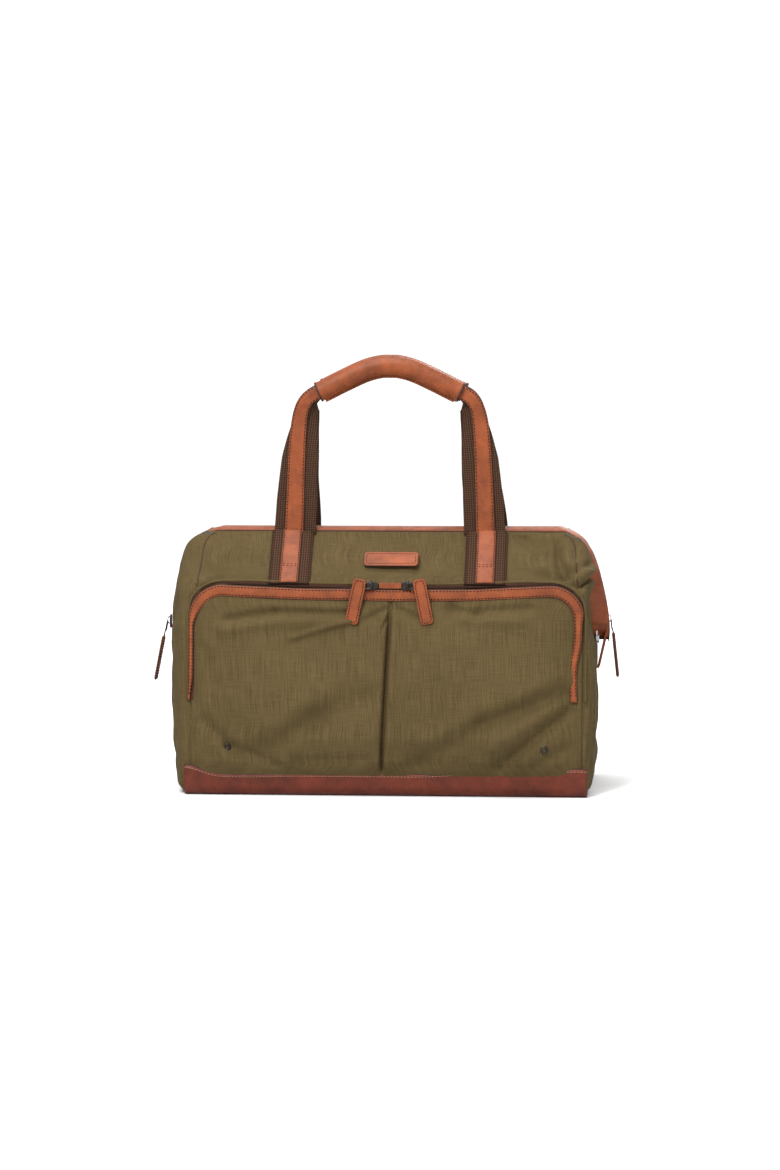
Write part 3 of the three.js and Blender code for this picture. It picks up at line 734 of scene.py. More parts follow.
def rear_folds(p):
    """The plain rear panel: a soft belly with long slack folds."""
    x, y, z = p[..., 0], p[..., 1], p[..., 2]
    on_rear = smooth(60, 90, y) * smooth(30, 70, z) * (1 - smooth(205, 243, z))
    belly = 3.5 * bump(z, 110, 70) * (1 - smooth(150, 225, np.abs(x)))
    return on_rear * (belly + folds(x, z, REAR_FOLDS))


def cloth_half(side, slack=1.0):
    """The cloth of one half: its columns run from the right end seam round the front to the left one.
    Slack scales its folds and creases."""
    heights = np.concatenate([np.linspace(2.8, 26, 9), np.linspace(29, 180, 50), np.linspace(182.5, 302.4, 58)])
    half = 92
    rows = []
    for z in heights:
        right = half_side(z, 1, half)
        left = half_side(z, -1, half)[::-1][1:] * np.array([-1, 1])
        line = np.concatenate([right, left])
        rows.append(np.column_stack([line, np.full(len(line), z)]))
    grid = np.array(rows)
    if side == "rear":
        grid = grid * np.array([1, -1, 1])
    normal = grid_normals(grid) * (-1 if side == "front" else 1)
    x, z = grid[..., 0], grid[..., 2]
    move = end_folds(grid) + top_folds(grid, side)
    if side == "rear":
        move = move + rear_folds(grid)
    if side == "front":
        move = move + folds(x, z, FRONT_CORNER_FOLDS)
    wrinkles = 1.9 * noise_field(grid, 44, 3) + 0.9 * noise_field(grid, 19, 5)
    move = move + wrinkles * smooth(4, 30, z)
    free = smooth(0, 14, z) * (1 - smooth(296, 302.4, z))
    columns = grid.shape[1]
    from_seam = np.minimum(np.arange(columns), np.arange(columns)[::-1])
    free = free * smooth(0, 8, from_seam)[None, :]
    if side == "front":
        behind = (1 - smooth(224, 236, np.abs(x))) * (1 - smooth(240, 247, z))
        move = move * (1 - behind) - 1.0 * behind
    else:
        move = np.clip(move, -6, 8)
    return grid + normal * (slack * move * free)[..., None]


def corner_seams(grids):
    """The sewn corner between the sloping top and each end: a thin dark bead along it, painted shade of the seam's
    crease.
    """
    for side, grid in grids.items():
        mirror = 1 if side == "front" else -1
        normal = grid_normals(grid) * (-mirror)
        z = grid[:, 0, 2]
        rows = np.where((z > 240) & (z < 302))[0]
        for name, sign in (("right", 1), ("left", -1)):
            target = np.interp(z[rows], [240, 250, 290, TOP_Z], [222, 219, 216, 206])
            points, ups = [], []
            for r, x in zip(rows, target):
                column = int(np.argmin(np.abs(grid[r, :, 0] - sign * x) + (grid[r, :, 1] * mirror > -20) * 99))
                points.append(grid[r, column])
                ups.append(normal[r, column])
            points, ups = np.array(points), unit(np.array(ups))
            line = spline(points[::4] + ups[::4] * 0.15, 60)
            # the dark bead is painted shade of the seam's crease
            bead = sweep(f"{side}_corner_seam_{name}", line, (1, 0, 0), unit(resample(ups[::4], 60)),
                         tube_profile(0.7, 8, 0.7), [EDGE])
            blend_mouth(bead, side, "canvas")


def body_cloth():
    grids = {}
    for side in ("front", "rear"):
        grid = cloth_half(side)
        grids[side] = grid
        piece = thick_grid(f"{side}_cloth", grid, 1.2, [CANVAS], flip=side == "front")
        replaced = ["front_yoke", "front_panel"] if side == "front" else ["rear_yoke", "rear_panel"]
        if side == "front":
            replaced += ["end_panel_left", "end_panel_right"]
        blend_mouth(piece, side, "canvas", *replaced)
    corner_seams(grids)


# ---- Front pocket ----
SAG = 5.5
FOLD_DEPTH = 1.55
# Folds of the pocket's cloth, each (start, end, width, depth) with points as (x, z) in the pocket's plane.
POCKET_FOLDS = [
    # under the zip: a deep crease on the left, a scalloped shadow on the right
    ((-190, 176), (-128, 189), 6, -3.6), ((-132, 189), (-36, 190), 5, -3.0),
    ((-196, 166), (-120, 178), 9, 3.0), ((-120, 178), (-40, 178), 9, 2.2),
    ((-112, 156), (-34, 182), 4, 1.4), ((-112, 150), (-30, 176), 4, -1.4),
    ((-30, 178), (2, 198), 4, -2.0), ((8, 200), (40, 182), 5, -2.0),
    ((70, 198), (112, 184), 6, -3.4), ((100, 190), (172, 194), 7, -3.2),
    ((84, 186), (160, 178), 9, 2.6),
    # long slack folds that rise to the lower right corner
    ((30, 8), (118, 62), 12, -3.6), ((104, 56), (216, 96), 11, -4.6),
    ((44, 30), (200, 116), 14, 3.0), ((128, 6), (222, 82), 7, -4.4),
    ((118, 26), (206, 88), 10, 3.2), ((170, 8), (214, 34), 7, -2.4),
    # and softer ones at the lower left
    ((-214, 66), (-168, 14), 7, -3.4), ((-186, 34), (-120, 8), 6, -2.4),
    ((-160, 14), (-70, 70), 15, -3.6), ((-90, 60), (-10, 92), 16, -3.0),
    ((-150, 40), (-60, 96), 14, 2.4), ((-214, 150), (-196, 96), 8, -2.0),
    ((-110, 14), (-16, 16), 6, -2.2), ((20, 12), (96, 14), 6, -1.8),
]


def sagged(x, z):
    """The pocket's top edge hangs a little in the middle."""
    return z - SAG * smooth(150, 205, z) * np.clip(1 - (np.asarray(x) / 190.0) ** 2, 0, 1)


def pocket_depth(x, z):
    """How far the pocket cloth stands in front of the front panel."""
    ax = np.abs(x)
    rise = np.interp(z, [-4, 3, 14, 40, 80, 115, 150, 180, 198, 206, 215],
                     [0.3, 6.0, 14.0, 18.5, 18.0, 15.4, 11.6, 8.2, 5.2, 2.6, 2.0])
    across = 1 - (np.clip(ax / 226.5, 0, 1)) ** 9
    depth = 1.0 + rise * across
    pouch = np.sin(math.pi * np.clip(ax / 216.0, 0, 1)) ** 0.8
    depth = depth + 3.4 * (pouch - 0.6) * smooth(10, 60, z) * (1 - smooth(150, 204, z))
    # the inverted pleat runs down the middle, leaning a little
    run = x - 5.0 + (206 - z) * 0.045
    pleat = smooth(-4, 12, z) * (1 - 0.5 * smooth(192, 206, z))
    depth = depth - 9.0 * pleat * bump(run, 0.0, 2.1)
    lips = bump(run, 7.0, 5.0) + 0.9 * bump(run, -8.0, 5.5)
    depth = depth + 2.8 * pleat * (1 - smooth(182, 196, z)) * lips
    branch = run + 3.0 + 9.0 * (1 - smooth(158, 196, z))
    depth = depth - 3.4 * smooth(150, 190, z) * (1 - smooth(192, 202, z)) * bump(branch - 3.0, 0.0, 1.8)
    return depth + FOLD_DEPTH * folds(x, z, POCKET_FOLDS)


def pocket_cloth():
    xs = np.concatenate([np.linspace(-227, -16, 110), np.linspace(-14.6, 14.6, 31), np.linspace(16, 227, 110)])
    zs = np.concatenate([np.linspace(-4, 30, 22), np.linspace(32, 211, 100)])
    x, z = np.meshgrid(xs, zs)
    depth = pocket_depth(x, z)
    flat = np.stack([x, np.zeros_like(x), z], axis=-1)
    calm = smooth(0, 12, z) * (1 - smooth(216, 226, np.abs(x))) * (1 - smooth(196, 206, z))
    depth = depth + calm * (1.9 * noise_field(flat, 56, 11) + 0.8 * noise_field(flat, 21, 12))
    grid = pocket_point(x, np.maximum(depth, 0.9), sagged(x, z))
    piece = thick_grid("pocket_cloth", grid, 0.9, [CANVAS])
    start = pocket_point(0, 19.5, HINGE_Z - 14) * MM
    end = pocket_point(0, 19.5, HINGE_Z + 14) * MM
    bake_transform(piece)
    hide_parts("pocket_lower", "pocket_flap_panel")


def arch_path(inset, count=220, bottom=HINGE_Z):
    """The line round the pocket's top and sides, a given distance inside its edge."""
    half = POCKET_HALF_X - inset
    top = POCKET_TOP - inset
    radius = POCKET_RADIUS - inset
    points = [(-half, bottom), (-half, top - radius)]
    for a in np.linspace(math.pi, math.pi / 2, 16)[1:]:
        points.append((-half + radius + radius * math.cos(a), top - radius + radius * math.sin(a)))
    for a in np.linspace(math.pi / 2, 0, 16):
        points.append((half - radius + radius * math.cos(a), top - radius + radius * math.sin(a)))
    points.append((half, bottom))
    line = resample(points, count)
    return np.stack([line[:, 0], sagged(line[:, 0], line[:, 1])], axis=1)


def pocket_line(line, depth):
    return pocket_point(line[:, 0], depth, line[:, 1])


def pocket_frame(line):
    """Outward directions, in the pocket's plane, along a line of (x, z) points."""
    along = unit(np.gradient(line, axis=0))
    return np.stack([-along[:, 1], along[:, 0]], axis=1)


PLANE_UP = unit(pocket_point(0, 0, 1) - pocket_point(0, 0, 0))
PLANE_OUT = unit(pocket_point(0, 1, 0) - pocket_point(0, 0, 0))


def in_plane(directions):
    x_axis = np.array([1.0, 0, 0])
    return directions[:, :1] * x_axis + directions[:, 1:] * PLANE_UP


def waver(line, size=0.5):
    """A slight unevenness that hand-sewn leather has."""
    s = np.arange(len(line)) / 9.0
    return size * (np.sin(s * 0.71) + 0.6 * np.sin(s * 1.83 + 1.0))


def trim_narrowing(line):
    """The trim's legs turn half out of sight below the corners, the left one most."""
    left, right = line[:, 0] < 0, line[:, 0] > 0
    down = 1 - smooth(168, 198, line[:, 1])
    tip = 1 - smooth(HINGE_Z, HINGE_Z + 30, line[:, 1])
    return np.where(left, 0.6 * down + 0.25 * tip, 0) + np.where(right, 0.34 * down + 0.08 * tip, 0)


def trim_sway(line):
    """How far the right leg leans in over the pocket's slack cloth."""
    low = 3.2 * (1 - smooth(170, 195, line[:, 1])) + 5.0 * (1 - smooth(118, 158, line[:, 1]))
    return np.where(line[:, 0] > 0, low, 0)


def pocket_trim():
    middle = arch_path(TRIM / 2)
    outward = pocket_frame(middle)
    narrow = trim_narrowing(middle)
    middle = middle + outward * (waver(middle, 0.35) + narrow * TRIM / 2 - trim_sway(middle))[:, None]
    width = np.ones((len(middle), 2))
    width[:, 0] = 1 - narrow
    lift = 2.4 + 0.9 * np.sin(np.arange(len(middle)) / 9.0) * smooth(60, 190, np.abs(middle[:, 0]))
    trim = sweep("pocket_trim_leather", pocket_line(middle, lift), in_plane(outward), PLANE_OUT,
                 flat_profile(TRIM, 2.2, 1.1, 0.35), [LEATHER, EDGE], width)
    finish_piece(trim, "pocket_flap", "tan_leather", "pocket_trim")
    rows, ups = [], []
    for share in (-1, 1):
        off = share * (TRIM / 2 - 2.5) * width[:, 0]
        shown = slice(2, -2)
        line = (middle + outward * off[:, None])[shown]
        rows.append(pocket_line(line, lift[shown] + 2.5))
        ups.append(PLANE_OUT)
    thread = stitches("pocket_trim_stitches", rows, ups, THREAD_DARK, 3.9, 2.8, 0.62)
    finish_piece(thread, "pocket_flap", "tan_leather")


def top_only(line, sides=0.08):
    """1 along the pocket's top, falling to the given share down its sides."""
    return sides + (1 - sides) * smooth(186, 204, line[:, 1]) * (1 - 0.45 * smooth(150, 200, np.abs(line[:, 0])))


def tape(name, outer, inner, depth, body, replaced):
    """A strip of zip tape between two lines round the pocket, given as distances outside its edge."""
    line = arch_path(0)
    outward = pocket_frame(line)
    share = top_only(line)
    near = line + outward * (inner * share)[:, None]
    far = line + outward * (outer * share)[:, None]
    if inner < 0:  # the inner tape follows the trim's leaning leg
        far = line + outward * (outer * share - trim_sway(line) - 1.5)[:, None]
        near = far + outward * (inner * 0.6)
    grid = np.stack([pocket_line(near, depth), pocket_line((near + far) / 2, depth + 0.35), pocket_line(far, depth)])
    piece = thick_grid(name, grid, 0.9, [CANVAS_TAPE])
    finish_piece(piece, body, "zip_tape", replaced)


def teeth_row(name, line, across, up, pitch=2.0, size=(1.9, 1.25, 1.1)):
    """A row of zip teeth along a line, each a small block with its edges taken off."""
    total = np.linalg.norm(np.diff(line, axis=0), axis=1).sum()
    count = int(total / pitch)
    spots = resample(line, count)
    sides = unit(resample(np.broadcast_to(across, line.shape), count))
    ups = unit(resample(np.broadcast_to(up, line.shape), count))
    alongs = unit(np.gradient(spots, axis=0))
    corners = [(-1, -1, 0), (1, -1, 0), (1, 1, 0), (-1, 1, 0),
               (-0.8, -0.62, 1), (0.8, -0.62, 1), (0.8, 0.62, 1), (-0.8, 0.62, 1)]
    points, faces = [], []
    for spot, side, out, along in zip(spots, sides, ups, alongs):
        base = len(points)
        for a, b, c in corners:
            points.append(spot + side * a * size[0] / 2 + along * b * size[1] / 2 + out * c * size[2])
        for face in ((0, 3, 2, 1), (4, 5, 6, 7), (0, 1, 5, 4), (1, 2, 6, 5), (2, 3, 7, 6), (3, 0, 4, 7)):
            faces.append(tuple(base + k for k in face))
    piece = make_mesh(name, points, faces, [TEETH], smooth_shade=False)
    fix_normals(piece)
    return piece


def pocket_zip():
    tape("pocket_tape_inner", 0.9, -8.0, 1.0, "pocket_flap", "pocket_zip_tape_inner")
    tape("pocket_tape_outer", 6.2, 1.0, 1.0, "bag_body", "pocket_zip_tape_outer")
    base = arch_path(0)
    frame_out = pocket_frame(base)
    share = top_only(base)
    shown = base[:, 1] > 196
    line = (base + frame_out * (1.6 * share)[:, None])[shown]
    outward = in_plane(frame_out)
    piece = teeth_row("pocket_teeth_outer", pocket_line(line, 1.9), outward[shown], PLANE_OUT)
    finish_piece(piece, "bag_body", "zip_tape")
    line = base + frame_out * (5.6 * share + 0.6)[:, None]
    welt = sweep("pocket_zip_welt", pocket_line(line, 1.1), outward, PLANE_OUT, tube_profile(1.5, 10), [CANVAS])
    finish_piece(welt, "bag_body", "canvas")


def pocket_eyelets():
    for side, sign in (("left", -1), ("right", 1)):
        x, z = sign * EYELET_X, EYELET_Z
        depth = float(pocket_depth(np.array(x), np.array(z))) + 0.3
        ring = [(1.9, 0.4), (2.1, 1.3), (2.9, 1.75), (3.9, 1.5), (4.75, 0.5), (4.6, -0.6), (1.9, -0.6)]
        steps = 28
        points = []
        for i in range(steps):
            a = 2 * math.pi * i / steps
            for r, d in ring:
                points.append(pocket_point(x + r * math.cos(a), depth + d, z + r * math.sin(a)))
        piece = make_mesh(f"eyelet_ring_{side}", points, band_faces(steps, len(ring), True), [GUNMETAL])
        fix_normals(piece)
        finish_piece(piece, "bag_body", "gunmetal", f"eyelet_{side}")
        # A near-black disc covers each eyelet's hole: painted shade standing for the dark inside of the hole, not
        # lining cloth.
        hole = make_mesh(f"eyelet_hole_{side}", [pocket_point(x + px, depth - 0.1, z + pz)
                                                 for px, pz in circle(2.0)], [tuple(range(24))], [EDGE])
        finish_piece(hole, "bag_body", "lining")


# ---- Zip hardware ----
def hung_place(origin, x_axis, z_axis, out):
    """Places a flat outline drawn in (x, z), with its thickness along out."""
    origin, x_axis, z_axis, out = (np.asarray(v, float) for v in (origin, x_axis, z_axis, out))

    def place(local):
        return origin + local[:, :1] * x_axis + local[:, 1:2] * z_axis + local[:, 2:] * out

    return place


def tab_outline(width, length, top, corner=4.5):
    half = width / 2
    points = [(-half + 1.6, top), (-half + 0.4, top - 3), (-half, top - 9)]
    for centre, start in ((-half + corner, math.pi), (half - corner, 1.5 * math.pi)):
        for a in np.linspace(start, start + math.pi / 2, 7):
            points.append((centre + corner * math.cos(a), top - length + corner + corner * math.sin(a)))
    return points + [(half, top - 9), (half - 0.4, top - 3), (half - 1.6, top)]


def slider_set(kind, side, origin, x_axis, z_axis, out, splay, swing, tab_x, tab_top, slider_body, pull_body):
    """One zip slider with its ring and leather tab, hung from origin in front of the zip."""
    origin = np.asarray(origin, float)
    name = f"{kind}_{side}"
    x_axis, z_axis, out = unit(x_axis), unit(z_axis), unit(out)
    shell = outline_plate(f"{name}_slider_shell", [
        [(-2.6, -8), (2.6, -8), (4.6, -3), (5.0, 5), (3.4, 8), (1.2, 6), (-1.2, 6), (-3.4, 8), (-5.0, 5), (-4.6, -3)]],
        2.2, 0.7, GUNMETAL, hung_place(origin + out * 1.5, *((z_axis, -x_axis) if tab_x else (x_axis, z_axis)), out))
    finish_piece(shell, slider_body, "gunmetal", f"{name}_slider")
    loop_path = [(0, 5.5, 2.0), (0, 4.6, 4.4), (0, 1.5, 5.2), (0, -2.0, 4.6), (0, -3.4, 2.0)]
    loop_path = np.array([origin + z_axis * b + out * c for _, b, c in loop_path])
    bridge = sweep(f"{name}_slider_loop", spline(loop_path, 14), x_axis,
                   unit(np.cross(np.gradient(spline(loop_path, 14), axis=0), x_axis)),
                   [(a * 1.5, b * 0.55, 0) for a, b, _ in tube_profile(1.0, 8)], [GUNMETAL])
    finish_piece(bridge, slider_body, "gunmetal")
    c, s = math.cos(splay), math.sin(splay)
    hang_x = x_axis * c + z_axis * s
    upright = z_axis * c - x_axis * s
    hang_z = upright * math.cos(swing) - out * math.sin(swing)
    hang_out = out * math.cos(swing) + upright * math.sin(swing)
    ring_at = origin - z_axis * 0.5 + out * 5.4
    reach_x, reach_z = (hang_z, -x_axis * np.sign(tab_x)) if tab_x else (hang_x, hang_z)
    ring = outline_plate(f"{name}_ring", [rounded_box(8.4, 13, 2.6, 0, -5.2), rounded_box(5.2, 8.8, 1.5, 0, -5.4)],
                         1.6, 0.6, GUNMETAL, hung_place(ring_at, reach_x, reach_z, hang_out))
    finish_piece(ring, pull_body, "gunmetal", f"{name}_puller")
    thong_from = ring_at + reach_z * -10.0
    thong_to = ring_at + x_axis * tab_x + hang_z * (tab_top - 5.0)
    thong = sweep(f"{name}_thong", np.array([thong_from * (1 - t) + thong_to * t + hang_out * (0.6 + 0.6 * t)
                                             for t in np.linspace(0, 1, 8)]),
                  reach_x, hang_out, [(a * 2.2, b * 0.8, 0) for a, b, _ in tube_profile(1.0, 8)], [EDGE])
    finish_piece(thong, pull_body, "tan_leather")
    tab_at = ring_at + hang_out * 1.1 + x_axis * tab_x
    outline = tab_outline(15, 53, tab_top)
    tab_place = hung_place(tab_at, hang_x, hang_z, hang_out)
    tab = outline_plate(f"{name}_tab", [outline], 2.7, 0.55, LEATHER, tab_place)
    finish_piece(tab, pull_body, "tan_leather", f"{name}_pull_tab")
    inset = np.array(tab_outline(10.6, 49.0, tab_top - 2.0, 3.0))
    closed = np.vstack([inset, inset[:1]])
    for face, lift in (("front", 1.42), ("back", -1.42)):
        line = tab_place(np.column_stack([closed, np.full(len(closed), lift)]))
        thread = stitches(f"{name}_tab_stitches_{face}", [line], [hang_out * np.sign(lift)],
                          THREAD_DARK, 3.2, 2.3, 0.6)
        finish_piece(thread, pull_body, "tan_leather")
    edge_line = tab_place(np.column_stack([np.array(outline), np.zeros(len(outline))]))
    rim = sweep(f"{name}_tab_edge", edge_line, hang_out, np.cross(np.gradient(edge_line, axis=0), hang_out),
                tube_profile(0.85, 8, 0.5), [EDGE], closed=True)
    finish_piece(rim, pull_body, "tan_leather")


def zip_hardware():
    splay = math.radians(11.5)
    for side, sign in (("left", -1), ("right", 1)):
        origin = pocket_point(ZIP_X + sign * 21.0, 4.4, POCKET_TOP + 4.4 - SAG)
        slider_set("pocket", side, origin, (1, 0, 0), PLANE_UP, PLANE_OUT, sign * splay, 0.0, sign * 14.5, 8.0,
                   f"pocket_slider_{side}", f"pocket_pull_{side}")
        proud, height = (2.0, 193.0) if side == "left" else (-2.5, 198.0)
        origin = np.array([sign * (float(ridge_at(height, sign)) + proud), 0, height])
        slider_set("main", side, origin, (0, sign, 0), (0, 0, 1), (sign, 0, 0), 0.0,
                   math.radians(11 if side == "left" else 6), 0.0, -18.0 if side == "left" else -15.0,
                   f"main_slider_{side}", f"main_pull_{side}")
    middle = pocket_point(ZIP_X + 0.6, 4.6, POCKET_TOP + 4.4 - SAG)
    bridge = outline_plate("pocket_bridge_leather", [rounded_box(26.5, 6.6, 1.6)], 2.0, 0.5, LEATHER,
                           hung_place(middle, (1, 0, 0), PLANE_UP, PLANE_OUT))
    finish_piece(bridge, "bag_body", "tan_leather", "pocket_zip_bridge")


# ---- Leather base ----
def base_wrap():
    """The leather runs under the bag and up the front and rear; its top edge isn't quite level."""
    xs = np.linspace(-234.5, 233.5, 119)
    rows = []
    for x in xs:
        front_top = 25.5 + 9.5 * smooth(192, 236, -x) - 1.5 * bump(x, -165, 40) + 7.5 * smooth(30, 165, x)
        rear_top = 26 + 2.0 * math.sin(x / 70.0)
        path = []
        for y, top, sign in ((-1, front_top, -1), (1, rear_top, 1)):
            wall = [(sign * (110.2 + 2.0 * (h / 26.0)), h) for h in np.linspace(top, 9, 7)]
            angles = np.linspace(0, math.pi / 2, 7)[1:]
            turn = [(sign * (100.2 + 1.0 + 9 * math.cos(a)), 9 - 9 * math.sin(a)) for a in angles]
            path.append(wall + turn)
        front, rear = path
        flat = [(y, 0.0) for y in np.linspace(-101, 101, 25)[1:-1]]
        line = front + flat + rear[::-1]
        rows.append([(x, y, z) for y, z in line])
    grid = np.array(rows)
    piece = thick_grid("base_wrap_leather", grid, 2.4, [BASE_LEATHER, EDGE], rim_material=1)
    finish_piece(piece, "bag_body", "base_leather", "base_leather")
    lines, ups, edges = [], [], []
    for index, sign in ((0, -1), (-1, 1)):
        edge = grid[:, index]
        inner = grid[:, 1 if index == 0 else -2]
        down = unit(inner - edge)
        lines.append(edge + down * 2.6 + np.array([0, sign * 0.15, 0]))
        ups.append(np.array([0, sign * 1.0, 0]))
        edges.append(edge)
    thread = stitches("base_stitches", lines, ups, THREAD_PALE, 4.0, 2.8, 0.34)
    finish_piece(thread, "bag_body", "base_leather")
    for label, edge, sign in (("front", edges[0], -1), ("rear", edges[1], 1)):
        line = edge + np.array([0, -sign * 1.2, 0.3])
        bead = sweep(f"base_edge_{label}", line, (0, 1, 0), (0, 0, 1), tube_profile(1.25, 8), [EDGE])
        finish_piece(bead, "bag_body", "base_leather")


# ---- Mouth ----
def mouth_edges():
    """The mouth's seam, where cloth meets leather, and its ridge, where leather meets zip."""
    zs = np.concatenate([np.linspace(PIVOT_Z + 1, 286, 26), [290, 294, 297.5, 300, 301.6]])
    seams, ridges = [], []
    for sign in (1, -1):
        rise = np.interp(zs, [177, 286, 290, 294, 297.5, 300, 301.6], [177, 286, 291, 296, 300.5, 303.4, 304.8])
        seam = np.column_stack([sign * seam_x(zs, sign), seam_y(zs), zs])
        ridge = np.column_stack([sign * ridge_at(rise, sign), np.full(len(zs), -4.4), rise])
        top = [(sign * x, -30.6, TOP_Z) for x in (196, 150, 75)]
        crest = [(sign * x, -4.4, 305.6) for x in (194, 150, 75)]
        seam, ridge = np.vstack([seam, top]), np.vstack([ridge, crest])
        seams.append(seam if sign > 0 else seam[::-1])
        ridges.append(ridge if sign > 0 else ridge[::-1])
    return run_through(np.vstack(seams)), run_through(np.vstack(ridges))


def mouth_leather(side):
    flip = np.array([1, -1 if side == "rear" else 1, 1])

    def turned(p):
        return np.asarray(p, float) * flip

    seam, ridge = mouth_edges()
    away = unit(np.cross(np.gradient(seam, axis=0), ridge - seam))
    away = np.where(((away * np.array([0.6, 0, 1])) * np.sign(seam + [0, 0, 400])).sum(axis=1, keepdims=True) < 0,
                    -away, away)
    rows = []
    for t in np.linspace(0, 1, 9):
        crown = 2.2 * math.sin(math.pi * t) ** 0.8
        line = seam * (1 - t) + ridge * t
        buckle = 0.5 * np.sin(np.arange(len(line)) / 9.0) * math.sin(math.pi * t)
        rows.append(line + away * (crown + buckle)[:, None])
    grid = turned(np.array(rows))
    piece = thick_grid(f"{side}_mouth_leather", grid, 1.7, [LEATHER, EDGE], rim_material=1)
    blend_mouth(piece, side, "tan_leather", f"{side}_facing", firm=True)
    near_seam = turned(rows[1] + away * 0.1)
    thread = stitches(f"{side}_mouth_stitches", [near_seam], [turned(away)], THREAD_DARK, 3.8, 2.7, 0.45)
    blend_mouth(thread, side, "tan_leather", firm=True)
    piping = sweep(f"{side}_mouth_piping", turned(seam + away * 0.5), turned(unit(ridge - seam)), turned(away),
                   tube_profile(1.2, 8), [EDGE])
    blend_mouth(piping, side, "tan_leather", firm=True)
    shift = np.array([0, 1, 0])
    tape_grid = turned(np.array([ridge + shift * 0.9, ridge + shift * 2.2 + away * 0.3, ridge + shift * 3.6]))
    tape_piece = thick_grid(f"{side}_mouth_tape", tape_grid, 0.9, [CANVAS_TAPE])
    blend_mouth(tape_piece, side, "zip_tape", f"{side}_zip_tape", firm=True)
    line = turned(ridge + shift * 3.0 + away * 0.4)
    teeth = teeth_row(f"{side}_mouth_teeth", line, turned(np.broadcast_to(shift, ridge.shape)), turned(away))
    blend_mouth(teeth, side, "zip_tape", firm=True)


def end_tabs():
    for side, sign in (("left", -1), ("right", 1)):
        outline = [(-9, 140), (9, 140), (16, 152), (16, 170), (10.5, 178)]
        outline += [(10 * math.cos(a), 178 + 10 * math.sin(a)) for a in np.linspace(0.1, math.pi - 0.1, 11)]
        outline += [(-10.5, 178), (-16, 170), (-16, 152)]
        low, high = float(wide_at(140.0, sign)) + 1.2, 252.4
        rise = unit(np.array([sign * (high - low), 0, 38.0]))
        outer = unit(np.cross((0, sign, 0), rise))
        place = hung_place((sign * high - rise[0] * 178.0, 0, 178.0 * (1 - rise[2])), (0, sign, 0), rise, outer)
        tab = outline_plate(f"end_tab_{side}", [outline], 2.8, 0.7, LEATHER, place)
        finish_piece(tab, "bag_body", "tan_leather", f"zip_end_tab_{side}")
        inner = [(x * 0.8, 158 + (z - 158) * 0.82) for x, z in outline]
        line = place(np.column_stack([np.array(inner + inner[:1]), np.full(len(inner) + 1, 1.45)]))
        thread = stitches(f"end_tab_stitches_{side}", [line], [outer], THREAD_DARK, 3.4, 2.4, 0.42)
        finish_piece(thread, "bag_body", "tan_leather")


# ---- Handles ----
LEG = [(112.5, 0, 300), (111, 0, 345), (109.3, 0, 389), (107, 0, 424), (103.5, 0, 445)]
CROWN = [(97, 0, 457.5), (89, 0, 463.5), (76, 0, 469.5), (54, 0, 480.5), (30, 0, 491.5), (12, 0, 496.4), (0, 0, 497)]


def whole_handle():
    right = np.array(LEG + CROWN, float)
    left = right[::-1][1:] * np.array([-1, 1, 1])
    return spline(np.vstack([right, left]), 241)


def slope_point(x, s, lift):
    """A point on the front's sloping top: s up the slope from the shoulder, lift off the cloth."""
    rise, run = TOP_Z - SHOULDER_Z, SHOULDER_Y - FACING_Y
    length = math.hypot(rise, run)
    c, d = run / length, rise / length
    return np.stack(np.broadcast_arrays(x, -SHOULDER_Y + s * c - lift * d, SHOULDER_Z + s * d + lift * c), axis=-1)


SLOPE_LENGTH = math.hypot(TOP_Z - SHOULDER_Z, SHOULDER_Y - FACING_Y)
SLOPE_OUT = unit(np.array([0, -(TOP_Z - SHOULDER_Z), SHOULDER_Y - FACING_Y]))


def foot_path(x, lift, low=-0.5):
    """Down the sloping top, from the free leg's root to where it goes under the pocket zip."""
    s = np.linspace(low, SLOPE_LENGTH - 2, 24)
    return slope_point(x, s, lift)


